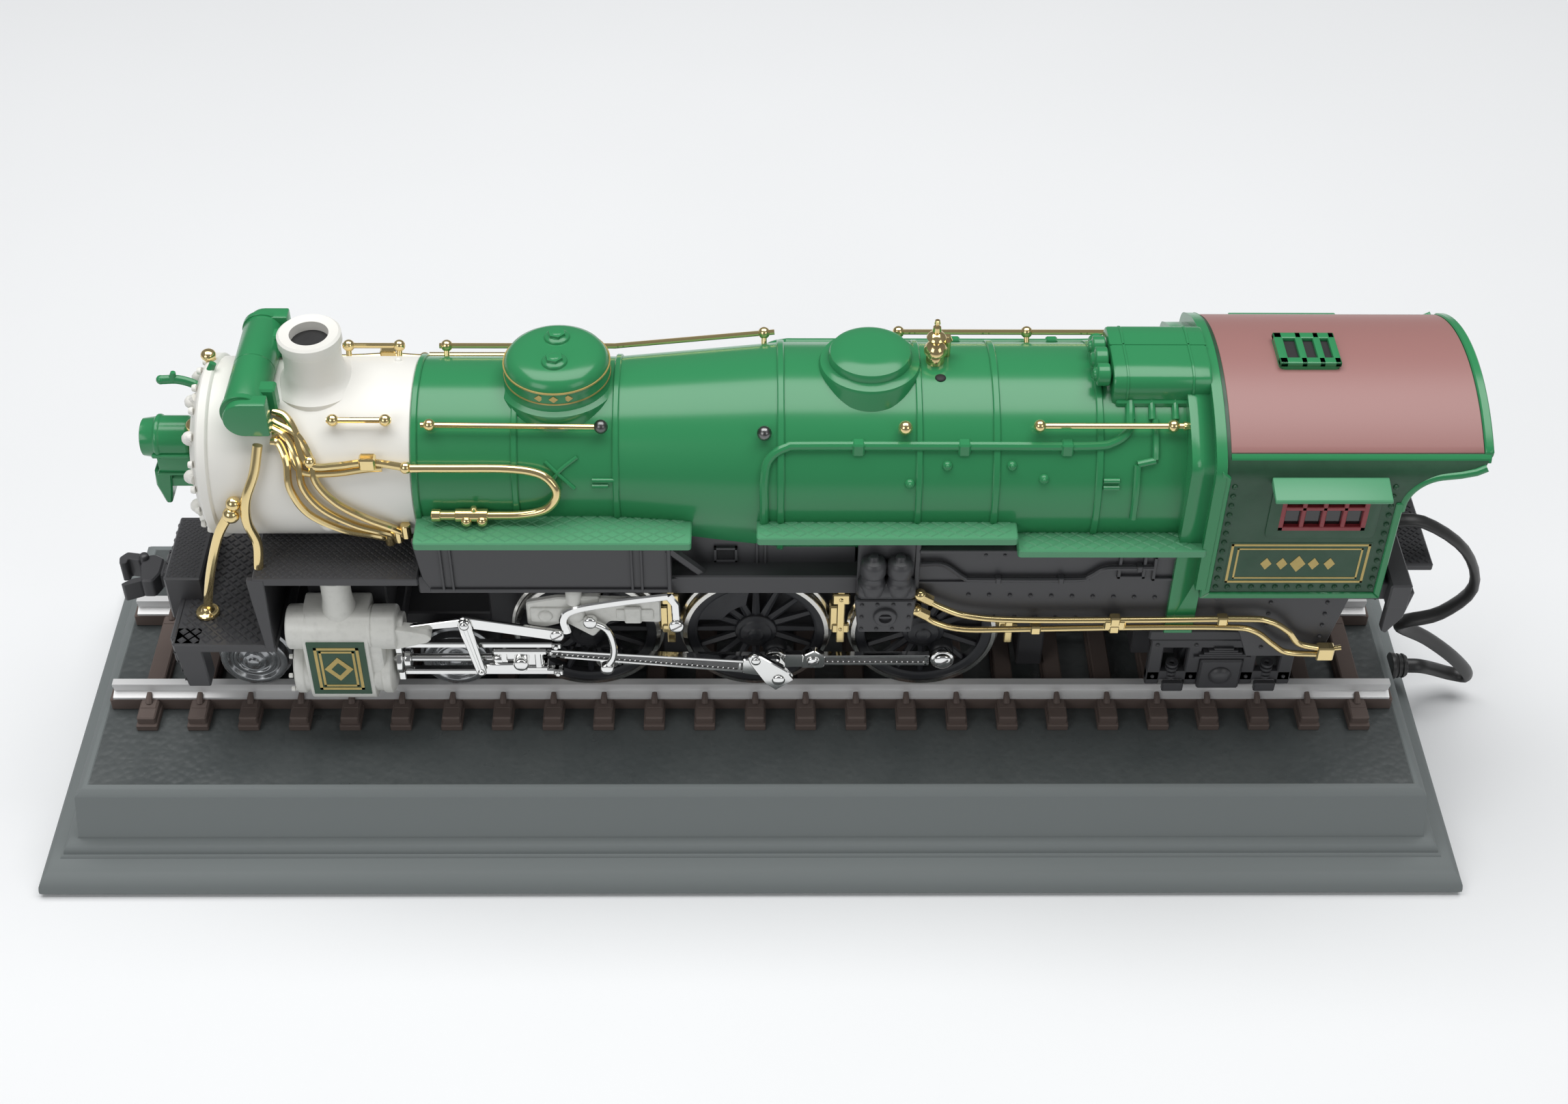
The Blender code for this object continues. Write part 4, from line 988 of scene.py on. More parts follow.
def side_rod(side_name, side):
    """The coupling rod over the three crank pins, with its knuckle behind the middle one."""
    shape = Shape("chrome", side)
    low, high = 22.3, 24.3
    pins = [(PIN[0] + i * DRIVER_SPACING, PIN[1]) for i in (-1, 0, 1)]
    for x, z in pins:
        shape.turn("y", (x, 0, z), [(2.0, high), (3.4, high), (3.7, high - 0.4), (3.7, low), (2.0, low)],
                   24, ring=True)
    fluted(shape, (pins[0][0] + 3, PIN[1]), (pins[1][0] - 3, PIN[1]), (1.9, 1.9), low, high, (0.03, 0.97))
    fluted(shape, (pins[1][0] + 12.5, PIN[1]), (pins[2][0] - 4, PIN[1]), (1.9, 2.1), low, high,
           (0.03, 0.97))
    x, z = pins[1]
    shape.plate(rounded(rectangle(x + 2.5, x + 8.5, z - 2.6, z + 2.6), 0.6), low, high + 0.3)
    knuckle = [(x + 7.8, z - 3.0), (x + 14.5, z - 3.0), (x + 15.2, z - 1.0), (x + 15.2, z + 1.6),
               (x + 11.8, z + 4.4),
               (x + 8.4, z + 2.2)]
    shape.plate(rounded(knuckle, 0.7), low, high + 0.3, bevel=0.3)
    shape.screw((x + 11.4, high + 0.4, z), 1.9)
    shape.piece(f"coupling_rod_{side_name}", f"side_rod_{side_name}", "chrome", f"side_rod_{side_name}")


def main_rod(side_name, side):
    """The connecting rod from the crosshead to the middle crank pin."""
    shape = Shape("chrome", side)
    low, high = 25.6, 27.8
    start, end = Vector(CROSSHEAD), Vector(PIN)
    along = (end - start).normalized()
    shape.plate(link_outline((tuple(start), tuple(start + along * 6)), (2.3, 1.9)), low, high, bevel=0.3)
    shape.beam(start + along * 4, start + along * 8, (1.2, 1.6), low, high)
    fluted(shape, start + along * 7, end - along * 9.5, (1.5, 2.5), low, high, (0.02, 0.98))
    outline = [end - along * 10 + Vector((0, 3.0)), end + Vector((1, 3.9)), end + along * 3.4, end
               + Vector((-1, -3.9))]
    outline.append(end - along * 10 - Vector((0, 3.0)))
    shape.plate(rounded([tuple(p) for p in outline], 1.2), low, high, bevel=0.35)
    shape.turn("y", (end.x, 0, end.y), [(0, high + 1.2), (2.8, high + 1.2), (3.2, high), (0, high - 0.3)],
               24)
    shape.piece(f"connecting_rod_{side_name}", f"main_rod_{side_name}", "chrome", f"main_rod_{side_name}")


def crosshead(side_name, side):
    """The crosshead between its bars, with the piston rod and the arm for the lever."""
    x, z = CROSSHEAD
    shape = Shape("chrome", side)
    body = [(x - 6.5, 62.0), (x + 6.5, 62.0), (x + 6.5, 66.6), (x + 3.6, 67.2), (x - 3.6, 67.2),
            (x - 6.5, 66.6)]
    shape.plate(rounded(body, 0.6), 28.3, 31.4, bevel=0.3)
    for low, high in ((67.0, 68.7), (60.1, 61.9)):
        shape.box((x - 8.2, 27.9, low), (x + 7.8, 32.1, high), 0.35)
    for dx in (-5.0, 5.0):
        shape.bolt("z", (x + dx, 30.0, 68.6), 0.9, 0.8)
        shape.box((x + dx - 0.9, 31.2, 61.0), (x + dx + 0.9, 32.0, 68.0), 0.2)
    shape.rod((x - 44.0, CYLINDER_Y, z), (x - 4, CYLINDER_Y, z), 1.2, sides=20)
    shape.turn("-x", (x - 5.5, CYLINDER_Y, z), [(0, 3.2), (1.5, 3.2), (2.1, 2.0), (2.1, 0), (0, 0)], 20)
    shape.plate(link_outline((LEVER_FOOT, (x, 62.0)), (1.7, 1.7)), 31.7, 32.7, bevel=0.2)
    shape.turn("y", (x, 0, z), [(0, 33.9), (1.6, 33.9), (2.3, 33.4), (2.3, 31.0), (0, 31.0)], 20)
    shape.turn("y", (LEVER_FOOT[0], 0, LEVER_FOOT[1]), [(0, 32.95), (1.0, 32.95), (1.0, 31.4), (0, 31.4)],
               16)
    shape.piece(f"crosshead_block_{side_name}", f"crosshead_{side_name}", "chrome",
                f"crosshead_{side_name}")


def combination_lever(side_name, side):
    """The lever between the crosshead and the valve stem."""
    shape = Shape("chrome", side)
    shape.plate(link_outline((LEVER_FOOT, LEVER_TOP), (1.5, 1.9)), 33.2, 34.1, bevel=0.2)
    shape.beam(LEVER_FOOT, LEVER_TOP, (0.4, 0.6), 33.9, 34.35, 0.1)
    for (x, z), radius in ((LEVER_FOOT, 1.2), (LEVER_TOP, 1.5)):
        shape.turn("y", (x, 0, z), [(0, 35.0), (radius * 0.6, 34.9), (radius, 34.4), (radius, 33.0),
                                    (0, 33.0)], 16)
    name = f"combination_lever_{side_name}"
    shape.piece(f"lever_{side_name}", name, "chrome", name)


def guide_bars(side_name, side):
    """Two slide bars from the cylinder back to their end blocks."""
    shape = Shape("chrome", side)
    for z in (70.0, 58.8):
        shape.box((-104.2, 28.8, z - 1.0), (-57.6, 31.2, z + 1.0), 0.35)
        shape.box((-59.5, 28.4, z - 1.0), (-56.6, 31.6, z + 1.0), 0.3)
        shape.bolt("y", (-58.2, 31.5, z), 0.9, 0.8)
    shape.turn("x", (-105.2, CYLINDER_Y, CROSSHEAD[1]), [(1.7, 0), (4.6, 0), (4.6, 1.6), (3.2, 2.2),
                                                         (3.0, 4.0), (1.7, 4.0)],
               24, ring=True)
    for z in (58.8, 70.0):
        shape.box((-105.4, 27.4, z - 1.8), (-103.2, 32.6, z + 1.8), 0.3)
    shape.piece(f"slide_bars_{side_name}", "base", "chrome", f"guide_bars_{side_name}")


def valve_gear(side_name, side):
    """Radius rod and valve stem, the curved link with its lifting rods, and their pins."""
    shape = Shape("chrome", side)
    shape.plate(link_outline((LEVER_TOP, (-57.4, 75.7)), (2.0, 2.0)), 31.7, 32.8, bevel=0.2)
    shape.plate(link_outline(((-103.0, 78.2), LEVER_TOP), (0.9, 1.5)), 31.7, 32.8, bevel=0.2)
    shape.rod((-106.0, 30.5, 78.0), (-98.0, 31.5, 78.5), 1.1)
    shape.screw((-57.4, 32.7, 75.7), 2.1)
    shape.turn("y", (LEVER_TOP[0], 0, LEVER_TOP[1]), [(0, 33.1), (1.2, 33.1), (1.2, 31.0), (0, 31.0)], 16)
    hook = [(-47.5, 32.1, 81.0), (-43.0, 32.2, 78.0), (-41.2, 32.3, 72.0), (-41.4, 32.3, 66.5),
            (-43.4, 32.3, 62.3)]
    shape.tube(hook, 1.05, sides=12)
    for x, z in ((-47.5, 81.0), (-43.4, 61.8)):
        shape.turn("y", (x, 0, z), [(0, 33.6), (1.5, 33.5), (2.1, 33.0), (2.1, 31.2), (0, 31.2)], 20)
    lifting = [(-54.5, 32.2, 76.6), (-55.2, 32.2, 82.0), (-52.0, 32.2, 85.6), (-40.0, 32.2, 88.6),
               (-24.6, 32.2, 91.2)]
    bar = [Vector(p) for p in lifting]
    shape.sweep(smooth_route(bar, 5), [1.1] * (5 * 4 + 1), 8, flat=(1.3, 0.7, (0.2, 0, 1)))
    shape.sweep([Vector((-24.6, 32.2, 91.6)), Vector((-22.6, 32.2, 88.0)), Vector((-22.4, 32.2, 80.5))],
                None, 8,
                flat=(1.3, 0.7, (1, 0, 0)))
    shape.screw((-22.4, 32.9, 79.8), 2.2)
    shape.piece(f"valve_gear_{side_name}", "base", "chrome", f"radius_rod_{side_name}")


def motion_bracket(side_name, side):
    """The grey casting behind the valve gear, with its blocks and posts."""
    shape = Shape("grey", side)
    plate = [(-66, 78), (-61, 77), (-55, 79), (-47, 73), (-42, 79.5), (-27, 79), (-27, 88), (-57, 89),
             (-66, 87)]
    shape.plate(rounded(plate, 1.0), 28.6, 30.6, bevel=0.4)
    shape.box((-65.0, 28.4, 79.5), (-51.5, 31.3, 85.6), 0.9, segments=2)
    shape.box((-40.0, 28.4, 80.5), (-29.0, 31.2, 84.8), 0.7, segments=2)
    shape.box((-37.5, 30.6, 79.6), (-32.6, 31.8, 86.0), 0.4)
    shape.box((-52.5, 26.0, 85.0), (-44.5, 31.0, 89.6), 0.5)
    shape.turn("y", (-60.5, 0, 82.6), [(0, 32.2), (1.8, 32.0), (2.3, 31.2), (2.3, 30.2), (0, 30.2)], 20)
    shape.turn("z", (-52.0, 29.8, 0), [(0, 93.4), (1.6, 93.0), (2.4, 91.4), (2.4, 87.0), (0, 87.0)], 20)
    shape.turn("y", (-52.0, 0, 82.5), [(0, 31.8), (2.5, 31.5), (3.2, 30.8), (3.2, 29.6), (0, 29.6)], 24)
    shape.piece(f"motion_casting_{side_name}", "base", "grey_plastic", f"motion_bracket_{side_name}")


def cylinder(side_name, side):
    """Cylinder and valve chest castings with their covers, bolts, name-plate panel and steam pipe."""
    shape = Shape("grey", side)
    barrel = [(0, -15.6), (3.2, -15.4), (3.6, -14.8), (7.8, -14.6), (9.2, -14.0), (9.2, -11.6),
              (8.6, -11.2)]
    barrel += [(8.6, 11.2), (9.2, 11.6), (9.2, 14.0), (7.8, 14.6), (0, 14.8)]
    shape.turn("x", (-121.0, CYLINDER_Y - 1.6, CYLINDER_Z), barrel, 40)
    chest = [(0, -16.0), (6.1, -16.0), (6.7, -15.5)]
    for seam in (-10.1, -0.7, 8.8):
        chest += [(6.7, seam - 0.25), (6.45, seam - 0.1), (6.45, seam + 0.1), (6.7, seam + 0.25)]
    chest += [(6.7, 15.5), (6.1, 16.0), (4.6, 16.1), (4.4, 17.8), (0, 18.0)]
    shape.turn("x", (-119.9, CYLINDER_Y, CHEST_Z), chest, 36)
    guard = [(-105.0, 72.2), (-99.6, 73.8), (-95.0, 75.2), (-93.6, 76.8), (-95.0, 78.4), (-99.6, 79.6),
             (-105.0, 80.4)]
    shape.plate(rounded(guard, 0.8), 31.0, 35.2, bevel=0.5)
    shape.box((-130.8, 21.6, 62.0), (-108.2, 36.2, 78.0), 1.2, segments=2)
    block = [(22.0, 52.0), (30.0, 50.6), (34.6, 51.4), (37.2, 55.0), (37.2, 77.4), (35.4, 81.6),
             (30.6, 84.0), (22.0, 84.0)]
    shape.plate(rounded(block, 2.0, 6), -131.1, -111.8, "yz", 0.6, segments=2)
    for k in range(8):
        turn = math.radians(45 * k + 22.5)
        y, z = 7.3 * math.cos(turn), 7.3 * math.sin(turn)
        shape.bolt("-x", (-136.0, CYLINDER_Y + y, CYLINDER_Z + z), 0.8, 0.7)
    shape.turn("z", (-120.6, 28.5, 0), [(0, 96.2), (4.3, 96.0), (4.3, 88.0), (4.8, 84.5), (5.6, 81.5),
                                        (0, 81.5)], 32)
    shape.piece(f"cylinder_casting_{side_name}", "base", "grey_plastic", f"cylinder_{side_name}")
    label(side_name, side)


def lozenge(x, z, reach, rise):
    """A plain diamond, which stands in for the markings."""
    return [(x - reach, z), (x, z + rise), (x + reach, z), (x, z - rise)]


def surround(shape, x0, x1, z0, z1, width, low, high, bevel, paint=None):
    """Four bars round a rectangle on a side wall."""
    for a0, a1, b0, b1 in (
        (x0, x1, z0, z0 + width),
        (x0, x1, z1 - width, z1),
        (x0, x0 + width, z0, z1),
        (x1 - width, x1, z0, z1),
    ):
        shape.box((a0, low, b0), (a1, high, b1), bevel, paint)


def label(side_name, side):
    """A green plate on the casting's upright face, with two gold lines round a plain lozenge."""
    shape = Shape("green_flat", side)
    face = 37.3
    x0, x1, z0, z1 = -129.9, -113.0, 56.2, 77.4
    shape.box((x0, face - 1.2, z0), (x1, face + 0.2, z1), 0)
    for inset, width in ((1.9, 0.9), (3.3, 0.7)):
        surround(shape, x0 + inset, x1 - inset, z0 + inset, z1 - inset, width, face + 0.1, face + 0.32, 0,
                 "gold_print")
    faces = [(3, 2, 1, 0), (4, 5, 6, 7)] + [(i, (i + 1) % 4, 4 + (i + 1) % 4, 4 + i) for i in range(4)]
    for reach, rise, out, paint in ((4.2, 4.8, 0.36, "gold_print"), (2.2, 2.6, 0.42, None)):
        outline = lozenge((x0 + x1) / 2, (z0 + z1) / 2, reach, -rise)
        shape.add([(x, face + level, z) for level in (0.1, out) for x, z in outline], faces, paint)
    shape.piece(f"cylinder_label_{side_name}", "base", "green")


# ---------------------------------------------------------------- chassis


def chassis():
    """The frame under the decks, and what hangs from it."""
    shape = Shape("black")
    shape.box((-96.4, -29.8, 90.0), (188.0, 29.8, DECK_TOP), 0.4)
    for low, high in (
        ((-160.0, -9.0, 49.0), (-78.0, 9.0, 62.0)),
        ((-80.0, -10.0, 56.0), (120.0, 10.0, 91.0)),
        ((-138.0, -21.0, 62.0), (-105.0, 21.0, 69.0)),
        ((-131.0, -20.6, 68.0), (-108.0, 20.6, 98.6)),
        ((117.0, -9.0, 44.0), (165.0, 9.0, 67.0)),
        ((118.0, -25.0, 66.0), (164.0, 25.0, 70.0)),
        ((134.0, -12.0, 69.0), (150.0, 12.0, 91.0)),
        ((-28.0, -7.0, 37.0), (-20.0, 7.0, 57.0)),
        ((82.0, -7.0, 37.0), (90.0, 7.0, 57.0)),
        ((-158.0, -8.0, 60.0), (-150.0, 8.0, 70.0)),
    ):
        shape.box(low, high, 0.5)
    shape.turn("z", (PLUNGER_X, 0, 0), [(2.7, 98.4), (6.0, 98.4), (6.6, 97.4), (6.6, 96.0), (2.7, 96.0)],
               28, ring=True)
    for side in SIDES.values():
        y0, y1 = sorted((side * 9.6, side * 12.4))
        shape.box((-64.0, y0, 60.0), (112.0, y1, 76.0), 0.4)
    shape.piece("frame_members", "base", "black", "chassis")
    for side_name, side in SIDES.items():
        front_skirt(side_name, side)
        middle_frame(side_name, side)
        rear_skirt(side_name, side)
        trailing_truck(side_name, side)
        brake_hangers(side_name, side)
    pilot()
    rear_end()


def front_skirt(side_name, side):
    """The valance below the first running board, with pairs of ribs and a diagonal brace."""
    shape = Shape("black", side)
    outline = [(-96.4, 112.4), (-94.6, 98.0), (-92.4, 93.5), (-24.0, 93.5), (-24.0, 112.4)]
    shape.plate(outline, 30.1, 32.1, bevel=0.3)
    shape.box((-94.6, 31.9, 110.6), (-22.0, 33.2, 112.6), 0.2)
    shape.box((-92.6, 31.9, 93.4), (-24.2, 32.8, 94.6), 0.2)
    for x in (-88.6, -85.8, -34.6, -31.8):
        shape.box((x - 0.35, 31.9, 94.0), (x + 0.35, 32.9, 111.6), 0.1)
    shape.box((-24.6, 24.0, 93.5), (-23.4, 33.0, 112.4), 0.2)
    shape.sweep([Vector((-24.0, 31.6, 109.5)), Vector((-12.5, 26.4, 93.0))], [1.5, 1.5], 6)
    shape.sweep([Vector((-24.0, 30.0, 96.0)), Vector((-12.0, 25.4, 94.0))], [0.8, 0.8], 6)
    shape.piece(f"front_valance_{side_name}", "base", "black")


def middle_frame(side_name, side):
    """The inner frame plate between the boards, with its ribs and small window."""
    shape = Shape("black", side)
    shape.box((-24.0, 22.0, 89.4), (29.5, 23.8, 113.0), 0.3)
    shape.box((-24.0, 23.4, 89.2), (29.5, 25.6, 91.2), 0.3)
    shape.box((-24.0, 23.4, 92.4), (29.5, 24.6, 93.4), 0.2)
    for x in (1.0, 3.4):
        shape.box((x - 0.35, 23.6, 91.0), (x + 0.35, 24.5, 112.6), 0.1)
    shape.box((-10.8, 23.6, 98.4), (-5.2, 24.2, 102.8), 0.1, "matt_black")
    surround(shape, -11.4, -4.6, 97.8, 103.4, 0.8, 23.6, 24.8, 0.1)
    shape.box((14.0, 25.0, 88.2), (17.0, 27.2, 92.4), 0.4)
    shape.box((0.9, 24.0, 111.2), (30.0, 31.0, 113.0), 0.2)
    shape.piece(f"middle_frame_{side_name}", "base", "black")


def air_pump():
    """The two-cylinder pump on the near side."""
    shape = Shape("black", -1)
    shape.box((29.6, 30.8, 90.0), (46.2, 32.6, 113.0), 0.3)
    for x in (34.0, 41.6):
        profile = [(0, 109.8), (1.3, 109.6), (1.6, 108.4), (3.0, 108.0), (3.8, 106.6), (3.8, 103.4),
                   (3.3, 102.8)]
        profile += [(3.3, 100.6), (3.9, 100.0), (3.9, 96.6), (3.0, 95.8), (0, 95.6)]
        shape.turn("z", (x, 34.6, 0), profile, 28)
    shape.box((30.2, 32.0, 94.4), (45.6, 36.4, 97.4), 0.8, segments=2)
    shape.turn("x", (38.0, 34.4, 96.8), [(0, -8.4), (2.6, -8.2), (3.2, -7.0), (3.2, 7.0), (2.6, 8.2),
                                         (0, 8.4)], 24)
    shape.plate(rounded([(29.0, 92.6), (46.6, 92.6), (46.0, 79.8), (30.2, 79.8)], 1.0), 32.4, 35.4,
                bevel=0.4)
    shape.turn("y", (38.0, 0, 86.4), [(1.9, 36.4), (3.2, 36.4), (3.6, 35.2), (1.9, 35.2)], 24, ring=True)
    shape.box((35.2, 35.2, 86.0), (40.8, 36.0, 86.8), 0.15)
    for x in (31.2, 44.8):
        for z in (91.0, 86.2, 81.4):
            shape.rivet((x, 35.5, z), 0.6)
    for x in (35.6, 40.2):
        shape.rivet((x, 35.5, 81.4), 0.6)
        shape.rivet((x, 35.5, 91.2), 0.6)
    shape.piece("air_pump_detail", "base", "black", "air_pump")


def rear_skirt(side_name, side):
    """The riveted plate below the rear boards and the cab, with its pipe run and lockers."""
    shape = Shape("black", side)
    outline = [(46.5, 92.0), (60.0, 82.0), (78.0, 79.5), (142.0, 77.5), (146.0, 66.0), (168.0, 66.0),
               (173.0, 92.0)]
    outline += [(184.0, 92.0), (184.0, 96.6), (127.0, 96.6), (127.0, 110.0), (46.5, 110.0)]
    shape.plate(outline, 29.6, 31.6, bevel=0.25)
    shape.box((45.8, 29.4, 91.0), (47.4, 33.0, 113.0), 0.25)
    shape.box((47.0, 31.4, 109.2), (127.6, 33.4, 110.4), 0.2)
    shape.box((47.0, 31.4, 96.4), (74.0, 32.2, 97.2), 0.15)
    pipe = [(47.6, 32.7, 104.6), (54.0, 32.7, 104.4), (60.0, 32.7, 99.4), (64.0, 32.7, 98.6),
            (92.0, 32.7, 98.6)]
    pipe += [(96.0, 32.7, 99.8), (100.0, 32.7, 102.8), (106.0, 32.7, 103.2), (114.0, 32.7, 103.2)]
    shape.tube(pipe, 0.8, sides=8)
    for x in (70.0, 88.0, 110.0):
        shape.box((x - 0.8, 31.4, 97.6 if x < 100 else 102.2), (x + 0.8, 33.8, 99.8 if x < 100 else 104.4),
                  0.25)
    for x0, x1, z0, z1 in ((104.0, 112.0, 98.6, 108.0), (114.0, 123.6, 97.8, 107.4)):
        surround(shape, x0, x1, z0, z1, 1.0, 31.3, 32.6, 0.15)
    for i in range(10):
        shape.rivet((66.0 + i * 5.4, 31.7, 107.2 - 0.05 * i), 0.5)
    for i in range(13):
        shape.rivet((62.0 + i * 6.0, 31.7, 91.6 - 0.12 * i), 0.65)
    for i in range(12):
        shape.rivet((70.0 + i * 6.0, 31.7, 82.6 - 0.15 * i), 0.65)
    for i in range(5):
        shape.rivet((166.5, 31.7, 70.0 + i * 4.6), 0.65)
        shape.rivet((150.0, 31.7, 70.0 + i * 4.6), 0.65)
    shape.box((126.0, 31.0, 90.2), (184.0, 32.4, 96.6), 0.3)
    shape.piece(f"rear_skirt_{side_name}", "base", "black")


def trailing_truck(side_name, side):
    """An equalised truck frame with springs, pedestals and axle boxes."""
    shape = Shape("black", side)
    shape.box((119.0, 21.8, 62.8), (163.0, 25.2, 66.4), 0.4)
    shape.plate([(119.0, 49.0), (163.0, 49.0), (163.0, 52.6), (119.0, 52.6)], 22.0, 25.0)
    for x in (119.0, 130.6, 147.4, 158.8):
        shape.box((x, 22.0, 47.0), (x + 4.2, 25.0, 64.0), 0.4)
    shape.box((134.6, 22.0, 46.4), (147.4, 26.4, 58.6), 0.6)
    shape.turn("y", (TRAILING_X, 0, 52.6), [(0, 28.0), (2.2, 27.8), (3.4, 26.8), (3.4, 25.6), (0, 25.6)],
               24)
    for i in range(5):
        half = 8.6 - 1.4 * i
        z = 59.2 + i * 0.9
        shape.box((TRAILING_X - half, 22.4, z), (TRAILING_X + half, 26.0, z + 0.75), 0.15)
    for x in (126.6, 155.4):
        for z in (50.0, 51.6, 53.2, 54.8):
            shape.turn("z", (x, 23.8, z), [(0.9, 0), (1.9, 0), (1.9, 0.9), (0.9, 0.9)], 14, ring=True,
                       ease=0)
    for x in (121.0, 132.6, 149.4, 160.8):
        shape.rivet((x, 25.2, 64.4), 0.65)
        shape.rivet((x, 25.2, 50.8), 0.65)
    for x in (152.0, 124.0):
        shape.box((x, 25.0, 46.0), (x + 6.4, 27.2, 49.4), 0.4)
    shape.piece(f"trailing_truck_{side_name}", "base", "black")


def brake_hangers(side_name, side):
    """Gold hangers and shoes between the drivers."""
    shape = Shape("gold", side)
    for x in (-24.5, 25.9, 76.3):
        shape.box((x - 1.2, 20.6, 62.0), (x + 1.2, 22.0, 88.0), 0.3)
        shape.box((x - 2.6, 20.4, 78.4), (x + 2.6, 22.6, 82.4), 0.4)
        shape.box((x - 2.6, 20.1, 66.0), (x + 2.6, 21.9, 69.4), 0.4)
        shape.box((x - 3.4, 17.6, 66.6), (x - 0.6, 21.4, 76.4), 0.5)
        shape.rivet((x, 22.3, 80.4), 0.8)
        shape.rivet((x, 21.8, 67.7), 0.7)
        shape.rod((x, 12.0, 64.0), (x, 21.9, 64.0), 0.9)
    shape.piece(f"brake_hangers_{side_name}", "base", "gold")


def pilot():
    """Front decks with tread plate, the riser between them, the step and the buffer beam."""
    shape = Shape("black")
    shape.box((-170.0, -33.0, 69.0), (-140.0, 33.0, 72.0), 0.3)
    shape.tread((-169.6, -143.2), (-32.6, 32.6), 72.0, (3.6, 3.6), 0.4, fill=0.8)
    shape.box((-143.0, -33.2, 96.2), (-95.8, 33.2, 98.8), 0.3)
    shape.tread((-142.6, -96.2), (-32.8, 32.8), 98.8, (2.2, 2.2), 0.22, fill=0.8)
    shape.box((-142.4, -32.6, 70.5), (-140.4, 32.6, 98.0), 0.3)
    for row in range(12):
        for column in range(35):
            if (row + column) % 2 == 0:
                y = -31.4 + column * 1.85
                z = 73.2 + row * 2.1
                shape.stud(Vector((-142.4, y, z)), Vector((0, 0, 1)), Vector((0, 1, 0)), (4.2, 3.7), -0.4,
                           None, 0.8)
    for side in SIDES.values():
        y0, y1 = sorted((side * 31.4, side * 33.4))
        shape.plate([(-143.0, 71.0), (-140.2, 71.0), (-139.6, 98.4), (-144.6, 98.4), (-144.2, 90.0)], y0,
                    y1)
        step = [(-170.6, 72.0), (-162.2, 72.0), (-161.8, 54.0), (-168.4, 54.0)]
        y0, y1 = sorted((side * 25.5, side * 32.5))
        shape.plate(step, y0, y1, bevel=0.4)
        for row in range(8):
            for column in range(3):
                if (row + column) % 2 == 0:
                    z = 56.6 + row * 1.9
                    x = -168.9 - (z - 54.0) * 0.12
                    y = side * 29.0 + (column - 1) * 2.0
                    shape.stud(Vector((x, y, z)), Vector((0, 0, 1)), Vector((0, 1, 0)), (3.6, 3.6), -0.5,
                               None, 0.75)
    shape.box((-175.0, -13.8, 64.0), (-164.0, 13.8, 80.6), 0.5)
    shape.tread((-174.6, -164.4), (-13.4, 13.4), 80.6, (1.9, 1.9), 0.2, fill=0.8)
    shape.box((-171.4, -30.0, 62.0), (-169.6, 30.0, 72.2), 0.4)
    for i in range(8):
        y = -11.6 + i * 3.3
        shape.box((-175.6, y - 0.6, 65.0), (-174.6, y + 0.6, 79.4), 0.2)
    shape.piece("pilot_decks", "base", "black")


def coupler():
    """A knuckle coupler on its draft gear."""
    shape = Shape("black")
    shape.box((-182.0, -3.2, 66.4), (-175.2, 3.2, 72.4), 0.6)
    shape.box((-178.4, -5.0, 64.6), (-175.2, 5.0, 74.2), 0.6)
    body = [(-184.6, -6.6), (-181.0, -6.6), (-179.4, -3.0), (-179.4, 3.6), (-182.6, 5.4), (-185.4, 4.6),
            (-186.2, 0.0)]
    shape.plate(rounded(body, 0.9), 66.0, 73.0, "xy", 0.5)
    knuckle = [(-185.0, 5.0), (-191.0, 6.0), (-193.0, 3.6), (-192.4, 0.6), (-190.4, 1.0), (-190.2, 3.0),
               (-186.6, 2.2)]
    shape.plate(rounded(knuckle, 0.7), 65.8, 73.2, "xy", 0.4)
    guard = [(-184.6, -6.4), (-182.6, -3.8), (-187.6, -5.2), (-190.4, -7.6), (-189.4, -8.4)]
    shape.plate(rounded(guard, 0.6), 66.2, 72.6, "xy", 0.4)
    shape.turn("z", (-185.4, 3.4, 0), [(0, 74.6), (1.3, 74.4), (1.5, 73.6), (1.5, 64.8), (0, 64.8)], 16)
    for y in (-4.6, 0.0, 4.6):
        shape.box((-177.8, y - 0.5, 64.0), (-174.8, y + 0.5, 75.0), 0.2)
    shape.piece("coupler_head", "base", "black", "coupler")


def rear_end():
    """Rear beam with its triangular brackets and the tread plate of the drawbar."""
    shape = Shape("black")
    shape.box((182.3, -36.0, 90.0), (188.5, 36.0, 99.0), 0.5)
    for side in SIDES.values():
        for y in (34.2, 20.6):
            y0, y1 = sorted((side * (y - 1.4), side * (y + 1.4)))
            shape.plate([(182.6, 96.0), (189.6, 96.0), (188.0, 86.0), (184.2, 79.6), (182.6, 80.6)], y0, y1,
                        bevel=0.3)
    shape.box((187.0, -18.0, 88.0), (200.0, 18.0, 90.6), 0.4)
    shape.tread((187.6, 199.6), (-17.6, 17.6), 90.6, (2.4, 2.4), 0.3, fill=0.8)
    shape.box((184.0, -6.0, 80.0), (194.0, 6.0, 88.4), 0.6)
    shape.piece("rear_beam", "base", "black")


# ---------------------------------------------------------------- smokebox end


